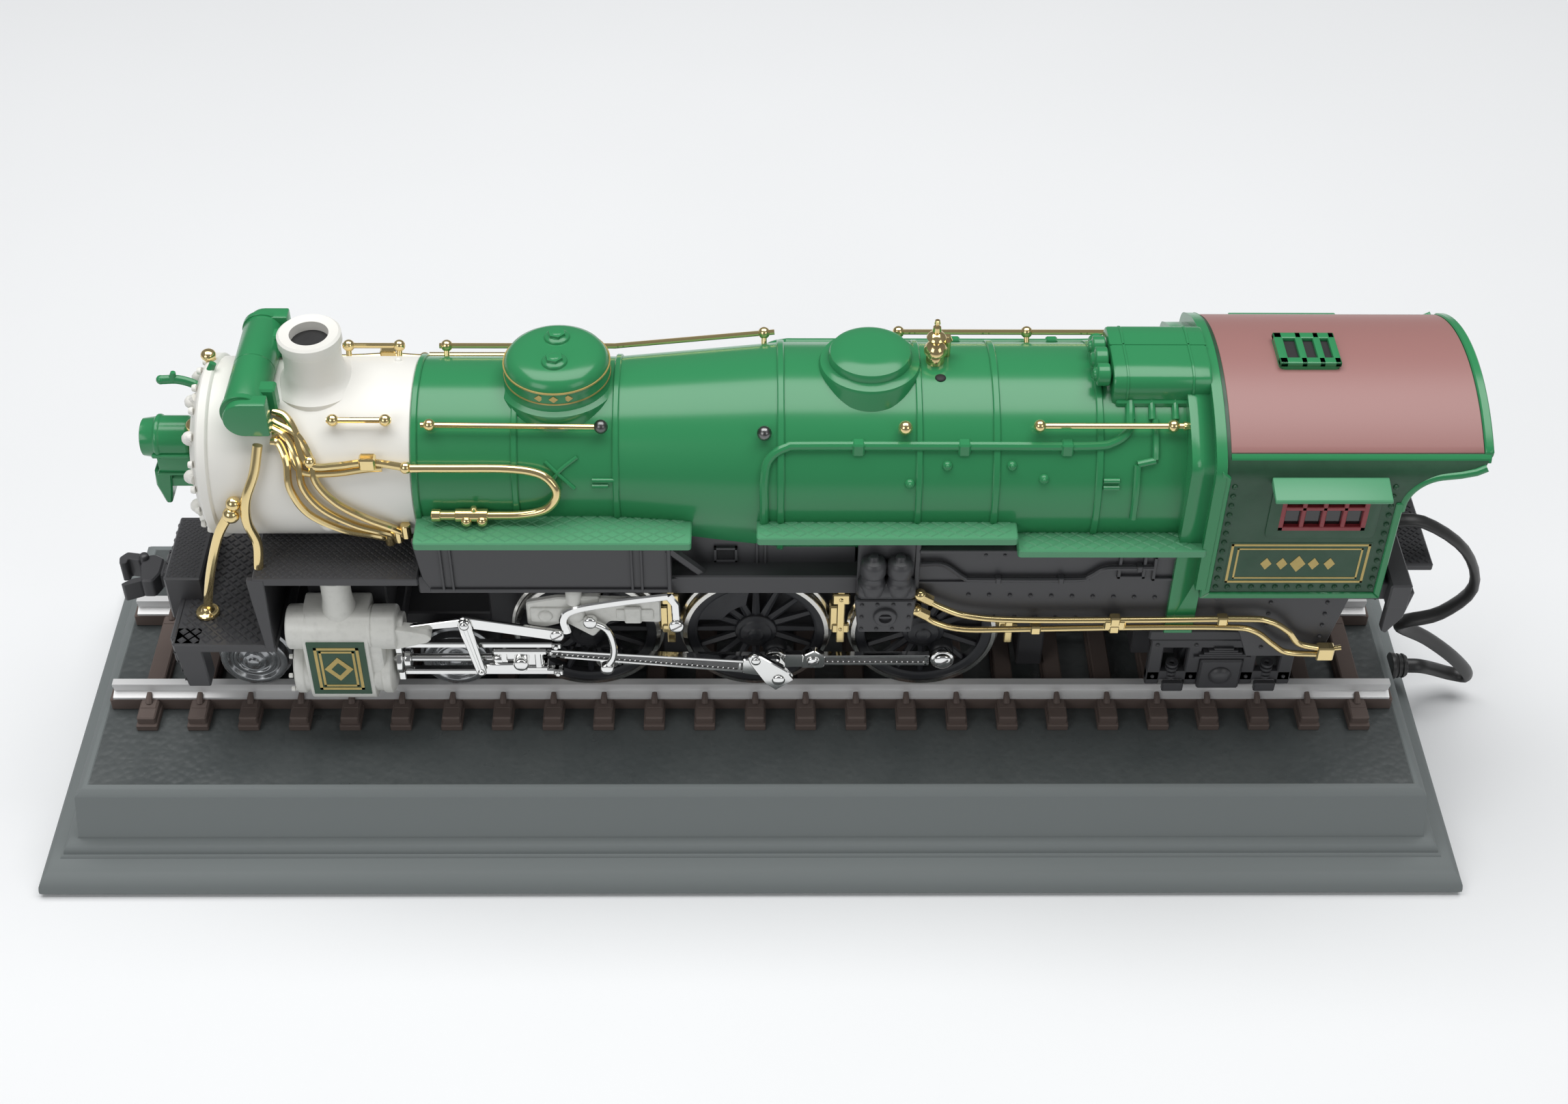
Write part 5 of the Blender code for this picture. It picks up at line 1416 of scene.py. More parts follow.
def smokebox():
    """The ivory shell, seated on the deck, with its bolts and dogs."""
    shape = Shape("ivory")
    shell = [(0, -SEAM - 0.15), (SMOKEBOX_RADIUS - 0.4, -SEAM - 0.15), (SMOKEBOX_RADIUS, -SEAM + 0.3)]
    front = -SMOKEBOX_FRONT
    shell += [(SMOKEBOX_RADIUS, front - 3.6), (SMOKEBOX_RADIUS + 0.5, front - 3.4),
              (SMOKEBOX_RADIUS + 0.9, front - 2.9)]
    shell += [(SMOKEBOX_RADIUS + 0.9, front - 0.8), (SMOKEBOX_RADIUS + 0.4, front - 0.2),
              (SMOKEBOX_RADIUS - 0.4, front)]
    shell += [(SMOKEBOX_RADIUS - 2.4, front + 1.4), (0, front + 1.5)]
    shape.turn("-x", (0, 0, BOILER_Z), shell, 96, ease=0)
    obj = shape.object("smokebox_shell")
    seat = Shape("ivory")
    seat.box((-143.6, -40, 60), (-60.0, 40, 99.3), 0.0)
    settle(carved(obj, seat), "base", "ivory", "smokebox")
    details = Shape("ivory")
    for k in range(20):
        angle = 18 * k + 9
        spot = drum(angle, SMOKEBOX_RADIUS - 1.3, SMOKEBOX_FRONT - 1.0)
        details.turn("-x", spot, [(0, 1.4), (0.9, 1.2), (1.1, 0.6), (1.1, 0), (0, 0)], 10, ease=0)
    for k in range(12):
        angle = 30 * k + 15
        outer = drum(angle, SMOKEBOX_RADIUS - 2.6, 0)
        inner = drum(angle, SMOKEBOX_RADIUS - 6.6, 0)
        middle = (outer + inner) / 2
        details.ball((SMOKEBOX_FRONT - 2.4, middle.y, middle.z), 2.1, squash=(1.1, 1, 1), sides=12, rings=8)
        details.rod((SMOKEBOX_FRONT - 1.0, outer.y, outer.z), (SMOKEBOX_FRONT - 3.6, middle.y, middle.z),
                    1.5, 1.1, 10)
    for angle, x in ((110.5, -120.5), (103.0, -103.0), (249.5, -120.5)):
        spot = drum(angle, SMOKEBOX_RADIUS - 1.0, x)
        details.ball(spot, 3.0, squash=(1, 1, 1))
    spot = drum(20.0, SMOKEBOX_RADIUS, -101.0)
    details.ball(spot, 1.0)
    details.piece("smokebox_bolts", "base", "ivory")


def smokebox_door():
    """The shallow dished door with two hinge straps."""
    shape = Shape("ivory")
    profile = [(0, 2.9), (6, 2.8), (12, 2.5), (16, 2.0), (18.2, 1.4), (19.5, 0.5), (19.5, 0), (0, 0)]
    shape.turn("-x", (SMOKEBOX_FRONT - 1.8, 0, BOILER_Z), profile, 64, ease=0)
    for z in (-8.0, 8.0):
        shape.box((SMOKEBOX_FRONT - 5.0, 1.0, BOILER_Z + z - 1.2),
                  (SMOKEBOX_FRONT - 2.4, 20.6, BOILER_Z + z + 1.2), 0.4)
        shape.turn("z", (SMOKEBOX_FRONT - 3.4, 20.4, BOILER_Z + z),
                   [(0, 2.0), (1.5, 2.0), (1.5, -2.0), (0, -2.0)], 16)
    shape.piece("smokebox_door_detail", "base", "ivory", "smokebox_door")


def stack():
    """The chimney with its foam plug."""
    shape = Shape("ivory")
    profile = [(5.45, 161.3), (8.2, 161.8), (8.9, 161.2), (8.95, 158.6), (8.6, 157.8), (8.2, 157.0),
               (8.1, 152.0)]
    profile += [(8.4, 149.0), (9.2, 147.2), (10.6, 146.0), (12.2, 145.0), (12.4, 138.0), (5.45, 138.0)]
    shape.turn("z", (STACK_X, 0, 0), profile, 56, ring=True, ease=0)
    shape.turn("z", (STACK_X, 0, 0), [(0, 158.6), (3.0, 158.8), (5.6, 158.4), (5.6, 138), (0, 138)], 32,
               "matt_black")
    shape.piece("chimney", "base", "ivory", "stack")


def headlight():
    """The lamp on its bracket, and the gold marker lamps beside it."""
    shape = Shape("green")
    body = [(0, 175.0), (3.4, 175.0), (3.7, 175.4), (5.4, 175.4), (6.0, 171.4), (6.7, 171.0), (6.7, 170.0),
            (6.25, 169.6)]
    body += [(6.25, 162.2), (5.6, 161.4), (0, 161.4)]
    shape.turn("-x", (0, 0, HEADLIGHT_Z), body, 36)
    shape.turn("-x", (0, 0, HEADLIGHT_Z), [(0, 175.6), (3.2, 175.5), (3.5, 174.8), (0, 174.8)], 24, "steel")
    shape.box((-172.2, -6.9, 121.4), (-161.4, 6.9, 122.6), 0.3)
    shape.box((-171.4, -5.6, 115.0), (-161.8, 5.6, 121.8), 0.6, segments=2)
    shape.box((-171.8, -6.2, 114.4), (-161.6, 6.2, 115.4), 0.3)
    shape.box((-171.4, -3.0, 107.4), (-158.0, 3.0, 111.2), 0.5)
    shape.plate([(-173.4, 114.6), (-168.4, 114.6), (-169.4, 107.0), (-170.4, 101.6), (-172.0, 101.6),
                 (-173.8, 108.6)],
                -3.8, 3.8, bevel=0.5)
    shape.piece("headlamp", "base", "green", "headlight")
    marker = Shape("gold")
    x = SMOKEBOX_FRONT - 3.4
    for z0, radius in ((132.0, 2.7), (127.0, 2.5), (122.6, 2.2)):
        profile = [(0, -1.5), (radius * 0.75, -1.4), (radius, -0.7), (radius, 0.7), (radius * 0.75, 1.4),
                   (0, 1.5)]
        marker.turn("z", (x, -4.6, z0), profile, 20)
    marker.turn("-x", (x - 1.6, -4.6, 127.0), [(0, 1.6), (1.7, 1.5), (2.3, 0.9), (2.3, -1.0), (0, -1.0)],
                20)
    marker.rod((x, -4.6, 120.4), (x, -4.6, 133.6), 1.3)
    marker.rod((SMOKEBOX_FRONT - 1.0, -4.6, 129.4), (x, -4.6, 129.4), 1.1)
    marker.rod((SMOKEBOX_FRONT + 2.0, 7.4, 143.0), (SMOKEBOX_FRONT + 1.0, 7.4, 147.0), 1.6)
    marker.ball((SMOKEBOX_FRONT + 0.8, 7.4, 148.0), 2.2, squash=(1, 1, 0.75))
    marker.piece("marker_lamps", "base", "gold")


def bell_arm():
    """The curved arm above the door."""
    shape = Shape("green")
    arm = [Vector(p) for p in ((-154.6, 0, 141.0), (-158.0, 0, 143.6), (-162.0, 0, 145.0),
                               (-166.6, 0, 144.9))]
    shape.sweep(smooth_route(arm, 5), None, 10, flat=(1.35, 1.15, (0, 0, 1)))
    shape.ball((-166.7, 0, 144.9), 1.35)
    shape.rod((-163.4, 0, 145.0), (-162.8, 0, 147.6), 1.3, 0.7)
    shape.rod((-155.8, 0.4, 141.2), (-151.8, 2.4, 149.0), 1.3, 1.0)
    shape.box((-157.2, -1.6, 138.6), (-153.4, 1.6, 142.4), 0.5)
    shape.piece("bell_bracket", "base", "green", "bell_arm")


def feedwater_heater():
    """A drum across the smokebox, with D-shaped end blocks and outlets behind."""
    shape = Shape("green")
    x, z = HEATER
    profile = [(0, 19.6), (5.5, 19.6), (5.9, 19.2), (5.9, 0), (0, 0)]
    for axis in ("y", "-y"):
        shape.turn(axis, (x, 0, z), profile, 48)
    for side in SIDES.values():
        shape.turn("y", (x, side * 18.6, z), [(5.6, -0.9), (6.25, -0.9), (6.25, 0.9), (5.6, 0.9)], 48,
                   ring=True, ease=0.15)
        y0, y1 = sorted((side * 17.4, side * 22.2))
        outline = arc((x + 0.4, z - 0.2), 5.5, 90, 270, 16) + [(x + 7.2, z - 5.7), (x + 7.2, z + 5.3)]
        shape.plate(outline, y0, y1, bevel=0.5, segments=2)
        y0, y1 = sorted((side * 9.6, side * 14.2))
        shape.box((x, y0, z - 3.4), (x + 8.4, y1, z + 4.2), 0.6)
    shape.piece("heater_drum", "base", "green", "feedwater_heater")


def front_pipes(side_name, side):
    """Gold pipes that run from the heater down and round the smokebox."""
    shape = Shape("gold", side)
    for radius, lift, points in (
        (1.15, 1.9, ((-133.0, 30), (-129.6, 33), (-126.6, 43), (-124.8, 56), (-121.5, 62.5), (-115.0, 62.0),
                     (-106.0, 60.0), (-96.0, 63.0))),
        (1.0, 1.6, ((-133.0, 44), (-130.6, 44), (-128.2, 50), (-127.0, 61), (-124.0, 66.5), (-116.0, 66.6),
                    (-108.0, 64.2), (-103.0, 63.4))),
        (1.1, 1.9, ((-133.4, 47.5), (-131.2, 49), (-129.2, 60), (-128.8, 76), (-124.8, 94), (-116.4, 110),
                    (-108.6, 118), (-104.0, 127))),
        (1.1, 1.9, ((-133.2, 40), (-129.0, 46), (-126.0, 60), (-125.2, 75), (-120.8, 90), (-112.8, 104),
                    (-106.2, 112), (-101.4, 120))),
        (1.1, 1.9, ((-133.0, 36), (-126.4, 44), (-122.6, 58), (-121.4, 72), (-116.4, 86), (-109.0, 98),
                    (-103.4, 106), (-99.4, 114))),
    ):
        shape.tube([drum(angle, SMOKEBOX_RADIUS + lift, x) for x, angle in points], radius, 6, 10)
    thick = [drum(50, 30.4, -136.4), drum(66, 28.4, -138.2), drum(82, 28.4, -141.2), drum(97, 29.2, -142.0)]
    thick += [Vector((-140.8, 27.6, 108.0)), Vector((-141.6, 28.2, 99.0))]
    shape.tube(thick, 1.45, 6, 12)
    for x, angle in ((-122.8, 59.5), (-106.4, 60.6), (-96.4, 63.0)):
        shape.ball(drum(angle, SMOKEBOX_RADIUS + 2.0, x), 1.75)
    shape.box((-109.0, 22.6, 133.4), (-104.4, 26.0, 137.4), 0.5)
    for x, angle in ((-104.0, 124.0), (-101.2, 118.0), (-98.6, 111.5)):
        shape.turn("z", drum(angle, SMOKEBOX_RADIUS + 1.6, x),
                   [(0, 2.0), (1.5, 2.0), (1.5, -2.6), (0, -2.6)], 12)
    shape.piece(f"heater_pipes_{side_name}", "base", "gold")
    brace = Shape("gold", side)
    brace.ball((-145.2, 27.4, 122.6), 2.2)
    brace.ball((-146.2, 28.2, 119.2), 2.5)
    brace.rod((-144.0, 24.6, 121.2), (-146.2, 28.2, 119.2), 1.2)
    route = smooth_route([(-147.4, 28.0, 118.4), (-151.6, 27.4, 110.0), (-157.4, 23.6, 92.0),
                          (-162.0, 19.8, 73.4)], 5)
    brace.sweep(route, [1.35] * len(route), 10, flat=(1.5, 0.9, (1, 0.4, 0)))
    brace.turn("z", (-162.0, 19.6, 0), [(0, 75.0), (1.7, 74.8), (2.0, 73.6), (3.4, 73.3), (3.5, 72.2),
                                        (0, 72.2)], 20)
    brace.piece(f"pilot_brace_{side_name}", "base", "gold", f"front_brace_{side_name}")


def handrail(shape, points, knobs, radius=0.8, ball=1.75):
    """A rail along the boiler through round knobs on stalks. Points and knobs are (x, angle)."""
    shape.sweep([drum(angle, boiler_radius(x) + 3.0, x) for x, angle in points], [radius] * len(points), 10)
    for x, angle in knobs:
        base = drum(angle, boiler_radius(x) - 0.5, x)
        top = drum(angle, boiler_radius(x) + 3.0, x)
        shape.rod(base, top, 0.8)
        shape.ball(top, ball)


def handrails(side_name, side):
    """The smokebox rails and the rails along the boiler, which differ on the two sides."""
    front = Shape("gold", side)
    handrail(front, ((-118.0, 36), (-100.2, 36)), ((-116.3, 36), (-101.8, 36)))
    front.piece(f"smokebox_rail_{side_name}", "base", "gold")
    shape = Shape("gold", side)
    if side < 0:
        handrail(shape, ((-92.0, 38.6), (-43.0, 39.6)), ((-89.6, 38.6),))
        shape.rod(drum(39.6, 25.0, -42.2), drum(39.6, 28.8, -42.2), 0.9)
        shape.ball(drum(39.6, 28.9, -42.2), 2.0, "dark_chrome_and_painted_shade")
        shape.rod(drum(43.7, 29.0, 3.0), drum(43.7, 31.4, 3.0), 1.2)
        shape.ball(drum(43.7, 31.6, 3.0), 2.1, "dark_chrome_and_painted_shade")
        shape.rod(drum(41.0, 29.0, 41.9), drum(41.0, 31.6, 41.9), 1.0)
        shape.ball(drum(41.0, 32.0, 41.9), 2.0)
        handrail(shape, ((78.9, 40.2), (120.0, 40.2)), ((78.9, 40.2), (115.8, 40.2)))
        tip = drum(40.2, FIREBOX_RADIUS + 3.0, 0)
        shape.rod((118.6, tip.y, tip.z), (123.6, tip.y, tip.z), 1.3, 0.3)
    else:
        handrail(shape, ((-90.5, 39), (-40.0, 39), (6.0, 38)), ((-88.4, 39), (3.0, 38)))
        handrail(shape, ((41.0, 41), (120.0, 41)), ((41.9, 41), (79.0, 41), (116.0, 41)))
    shape.piece(f"boiler_rail_{side_name}", "handset", "gold", f"handrail_boiler_{side_name}")


# ---------------------------------------------------------------- boiler and cab


def boiler():
    """The handset's shell: the boiler with its bands, and the three pairs of running boards."""
    shape = Shape("green")
    profile = [(0, BOILER_BACK - 0.3), (FIREBOX_RADIUS, BOILER_BACK - 0.3),
               (FIREBOX_RADIUS, FIREBOX_START + 1)]
    profile += [(FIREBOX_RADIUS - 0.12, FIREBOX_START - 1), (SMOKEBOX_RADIUS + 0.12, TAPER_START + 1)]
    profile += [(SMOKEBOX_RADIUS, TAPER_START - 1), (SMOKEBOX_RADIUS, -94.7),
                (SMOKEBOX_RADIUS - 0.5, -95.2), (0, -95.2)]
    shape.turn("x", (0, 0, BOILER_Z), profile, 112, ease=0)
    obj = shape.object("boiler_casing")
    settle(carved(obj, below_floor()), "handset", "green", "boiler_shell")
    bands = Shape("green")
    for x, width in BANDS:
        radius = boiler_radius(x)
        drop = math.degrees(math.acos((HANDSET_FLOOR + 0.2 - BOILER_Z) / radius))
        outline = arc((0, BOILER_Z), radius + 0.7, 90 - drop, 90 + drop, 72)
        outline += arc((0, BOILER_Z), radius - 0.6, 90 + drop, 90 - drop, 72)
        bands.plate(outline, x - width, x + width, "yz", 0.3)
    bands.piece("boiler_bands", "handset", "green")
    boards = Shape("board")
    for x0, x1, top in BOARDS:
        for side in SIDES.values():
            outline = [(x0, side * BOARD_INNER), (x1, side * BOARD_INNER), (x1, side * BOARD_EDGE),
                       (x0, side * BOARD_EDGE)]
            boards.plate(rounded(outline, 1.2), top - BOARD_THICKNESS, top - 0.25, "xy", 0.35)
            rows = sorted((side * (BOARD_INNER + 0.4), side * (BOARD_EDGE - 0.5)))
            boards.tread((x0 + 0.5, x1 - 0.5), rows, top - 0.25, (4.6, 3.1), 0.28, fill=0.93, top=0.74)
    boards.piece("running_boards", "handset", "green")


def boiler_fittings():
    """Piping, clamps, bolts and washout plugs on both flanks of the boiler."""
    for side_name, side in SIDES.items():
        shape = Shape("green", side)

        def along(points, radius=1.2, lift=0.5, sides=10):
            shape.tube([drum(angle, boiler_radius(x) + lift, x) for x, angle in points], radius, 6, sides)

        along(((3.0, 100), (3.0, 84), (3.0, 68), (4.4, 57), (9.0, 51), (16.0, 50), (60.0, 50), (92.0, 50),
               (99.6, 48),
               (103.6, 42), (104.2, 34), (104.4, 26)), 1.3)
        for x in (29.0, 58.3, 86.8):
            spot = drum(50, FIREBOX_RADIUS + 0.4, x)
            shape.box((x - 1.7, spot.y - 1.6, spot.z - 2.6), (x + 1.7, spot.y + 1.8, spot.z + 1.6), 0.5)
        along(((111.3, 36), (111.3, 50), (111.3, 57)), 1.0)
        along(((111.3, 57.5), (106.4, 59.5)), 1.0)
        along(((106.4, 60), (106.4, 75), (106.4, 92)), 1.0)
        for x, angle in ((43.4, 70.7), (53.7, 60.6), (71.6, 60.5), (124.0, 61.4), (80.6, 68.0)):
            spot = drum(angle, FIREBOX_RADIUS - 0.2, x)
            shape.ball(spot, 1.5, squash=(1, 1, 1))
            shape.ball(drum(angle, FIREBOX_RADIUS + 0.9, x), 0.8)
        along(((97.2, 68.6), (101.6, 68.6)), 0.7, 0.3)
        along(((97.2, 72.6), (101.6, 72.6)), 0.7, 0.3)
        along(((-58.0, 60), (-54.0, 69), (-50.0, 78)), 0.6, 0.2)
        along(((-49.0, 57), (-54.0, 66), (-57.0, 76)), 0.6, 0.2)
        along(((-45.0, 72), (-38.6, 72)), 0.6, 0.2)
        along(((-45.0, 76), (-40.6, 76)), 0.6, 0.2)
        for x in (104.7, 110.4, 116.9, 122.4):
            along(((x, 18), (x, 28), (x, 36)), 1.0, 0.4)
        shape.piece(f"boiler_piping_{side_name}", "handset", "green")
        injector = Shape("gold", side)
        loop = ((-95.0, 63.0), (-84.0, 63.0), (-68.0, 63.2), (-59.6, 66.0), (-55.6, 73.0), (-55.0, 81.0),
                (-58.2, 89.4),
                (-64.6, 93.4), (-72.0, 94.0), (-80.0, 94.0))
        injector.tube([drum(angle, SMOKEBOX_RADIUS + 2.6, x) for x, angle in loop], 1.25, 6, 12)
        spot = drum(94.0, SMOKEBOX_RADIUS + 2.6, 0)
        for x0, x1, radius in ((-83.6, -74.4, 1.9), (-88.2, -83.4, 1.4), (-90.2, -87.6, 1.8)):
            injector.turn("x", (x0, spot.y, spot.z), [(0, 0), (radius, 0), (radius, x1 - x0), (0, x1 - x0)],
                          20)
        for x in (-80.4, -76.0):
            injector.ball((x, spot.y + 1.6, spot.z - 0.8), 1.6)
            injector.rod((x, spot.y, spot.z), (x, spot.y, spot.z - 3.4), 0.8)
        injector.turn("z", (-78.2, spot.y, spot.z), [(0, 3.2), (0.9, 3.0), (0.9, 0), (0, 0)], 12)
        injector.piece(f"feed_pipe_{side_name}", "handset", "gold")


def domes():
    """The sand dome and the steam dome."""
    sand = Shape("green")
    x = SAND_DOME_X
    profile = [(0, 155.9), (8.0, 155.8), (11.6, 155.3), (13.6, 154.1), (14.6, 152.4), (14.9, 150.2),
               (14.9, 147.2)]
    profile += [(15.4, 146.0), (16.8, 145.2), (17.0, 144.0), (17.0, 134.0), (0, 134.0)]
    sand.turn("z", (x, 0, 0), profile, 64, ease=0)
    for y in (-5.5, 5.5):
        cap = [(0, 158.0), (1.5, 157.9), (2.0, 157.4), (2.4, 156.8), (3.5, 156.5), (3.7, 155.2), (0, 155.2)]
        sand.turn("z", (x, y, 0), cap, 24)
        sand.turn("z", (x, y, 156.2), [(0, 1.9), (2.4, 1.5), (2.6, 0), (0, 0)], 6, ease=0)
    band = [(14.7, -0.22), (15.08, -0.22), (15.08, 0.22), (14.7, 0.22)]
    for z in (148.2, 151.8):
        sand.turn("z", (x, 0, z), band, 64, "gold_print", ring=True, ease=0)
    for angle in (-90, 90):
        turn = math.radians(angle)
        spot = Vector((x + 14.95 * math.cos(turn), 14.95 * math.sin(turn), 150.0))
        out = Vector((math.cos(turn), math.sin(turn), 0))
        tangent = Vector((-math.sin(turn), math.cos(turn), 0))
        for step in (-1, 0, 1):
            bent = (spot + tangent * step * 4.0) - out * (abs(step) * 0.56)
            sand.stud(bent, tangent, Vector((0, 0, 1)), (2.6, 2.2), 0.12, "gold_print", 1.0, 1.0)
    sand.piece("sand_dome_detail", "handset", "green", "sand_dome")
    steam = Shape("green")
    x = STEAM_DOME_X
    profile = [(0, 157.0), (6.0, 156.9), (9.4, 156.4), (11.2, 155.4), (11.75, 154.2), (11.75, 153.2),
               (12.4, 152.6)]
    profile += [(13.9, 152.1), (14.3, 151.2), (14.4, 149.6), (15.6, 147.0), (15.8, 143.0), (0, 143.0)]
    steam.turn("z", (x, 0, 0), profile, 64, ease=0)
    # A matt-black strip with a flat round end on the boiler beside the dome: painted shade standing in for
    # a slot.
    slot = [drum(angle, FIREBOX_RADIUS + 0.1, x) for angle in (-18, -24, -30)]
    steam.sweep(slot, None, 8, "matt_black", flat=(1.3, 0.35, (1, 0, 0)))
    steam.ball(drum(-18, FIREBOX_RADIUS, x), 2.0, "matt_black", squash=(1, 0.7, 0.35))
    steam.piece("steam_dome_detail", "handset", "green", "steam_dome")
    # A flat matt-black disc on the boiler: painted shade standing in for the dark inside of the whistle
    # hole.
    hole = Shape("matt_black", -1)
    hole.ball(drum(10.3, FIREBOX_RADIUS - 0.1, 52.2), 1.6, squash=(1, 1, 0.35))
    hole.piece("whistle_hole_painted_shade", "handset", "black")


def safety_valve():
    """Two turned valves behind the steam dome."""
    shape = Shape("gold")
    profile = [(0, 165.2), (0.7, 165.0), (0.9, 164.0), (0.5, 163.4), (1.1, 162.8), (1.3, 161.6),
               (0.9, 160.8), (2.2, 160.2)]
    profile += [(2.8, 159.2), (2.2, 158.2), (1.5, 157.6), (2.4, 156.8), (3.3, 155.4), (3.3, 154.2),
                (2.2, 153.4), (2.6, 152.4)]
    profile += [(2.6, 147.0), (0, 147.0)]
    shape.turn("z", (51.0, 1.5, 0), profile, 24, ease=0)
    shape.turn("z", (54.4, 4.6, 0), [(0, 157.6), (0.9, 157.4), (1.5, 156.0), (1.1, 155.0), (1.1, 147.0),
                                     (0, 147.0)], 20, ease=0)
    shape.piece("pop_valves", "handset", "gold", "safety_valve")


def turret():
    """The covered turret ahead of the cab, with its generator."""
    shape = Shape("green")
    outline = [(-13.6, 143.0), (-13.4, 152.8), (-11.8, 155.6), (-7.5, 156.8), (7.5, 156.8), (11.8, 155.6),
               (13.4, 152.8)]
    outline.append((13.6, 143.0))
    shape.plate(rounded(outline, 1.6), 99.4, 126.8, "yz", 0.9, segments=2)
    shape.box((99.6, 1.2, 155.6), (126.6, 1.8, 157.05), 0.1)
    for x in (103.4, 121.6):
        shape.plate(rounded([(-13.9, 148.0), (-13.65, 152.9), (-11.9, 155.8), (-7.5, 157.05), (7.5, 157.05),
                             (11.9, 155.8),
                             (13.65, 152.9), (13.9, 148.0)], 1.6), x - 0.35, x + 0.35, "yz", 0.1)
    shape.box((100.4, -14.4, 146.8), (126.4, -12.0, 149.0), 0.5)
    for y, radius in ((-9.0, 3.2), (-2.6, 3.8), (3.6, 3.0)):
        shape.turn("x", (96.6, y, 154.4), [(0, -2.6), (radius * 0.5, -2.6), (radius * 0.6, -1.7),
                                           (radius, -1.4),
                                           (radius, 1.8), (0, 2.8)], 28)
    shape.turn("y", (96.8, 0, 153.2), [(0, -8.6), (2.2, -8.6), (2.2, 8.6), (0, 8.6)], 24)
    shape.box((94.4, -6.0, 147.0), (100.0, 6.0, 151.4), 0.6)
    shape.piece("turret_cover", "handset", "green", "turret_box")


def cab_outline(inset, bottom, steps=40):
    """The cab's outline in the yz plane: walls, rounded shoulders and a flatter arch between them."""
    shoulder = CAB_SHOULDER - inset
    radius = CAB_ARCH_RADIUS - inset
    middle = CAB_HALF - CAB_SHOULDER
    centre = CAB_TOP - CAB_ARCH_RADIUS
    eaves = centre + math.sqrt((radius - shoulder) ** 2 - middle**2)
    turn = math.degrees(math.acos(middle / (radius - shoulder)))
    half_width = CAB_HALF - inset
    points = [(-half_width, bottom), (half_width, bottom)]
    points += arc((middle, eaves), shoulder, 0, turn, 8)
    points += arc((0, centre), radius, turn, 180 - turn, steps)[1:-1]
    return points + arc((-middle, eaves), shoulder, 180 - turn, 180, 8)


def cab():
    """The hollow cab with its openings, then its sides, roof and front."""
    shape = Shape("green_flat")
    shape.plate(cab_outline(0.0, CAB_BOTTOM), BOILER_BACK, ROOF_END, "yz", 0.0)
    obj = shape.object("cab_walls")
    room = Shape("green_flat")
    room.plate(cab_outline(CAB_WALL, CAB_BOTTOM - 10), BOILER_BACK + CAB_WALL, ROOF_END + 10, "yz", 0.0)
    rear = Shape("green_flat")
    opening = [(179.6, 85.0), (179.6, 128.0)] + arc((190.4, 128.6), 10.8, 178, 100, 10)
    opening += [(193.6, 139.9), (197.6, 140.9), (200.2, 142.4), (201.6, 144.6), (202.4, 147.6),
                (216.0, 147.6)]
    opening.append((216.0, 85.0))
    rear.plate(opening, -60, 60, "xz", 0.0)
    doorway = Shape("green_flat")
    doorway.rod((120.0, 0, BOILER_Z + 2), (134.0, 0, BOILER_Z + 2), 22, sides=48)
    footing = Shape("green_flat")
    footing.box((120.0, -32.4, 80.0), (133.0, 32.4, CAB_FLOOR), 0.0)
    windows = Shape("green_flat")
    for side in SIDES.values():
        y0, y1 = sorted((side * 30, side * 45))
        windows.plate(rounded(rectangle(146.4, 170.2, 120.4, 135.6), 0.4), y0, y1, "xz", 0.0)
    carved(obj, room, rear, doorway, footing, windows)
    softened(obj, 0.4)
    settle(obj, "handset", "green", "cab_shell")
    for side_name, side in SIDES.items():
        cab_side(side_name, side)
    roof()
    cab_front()


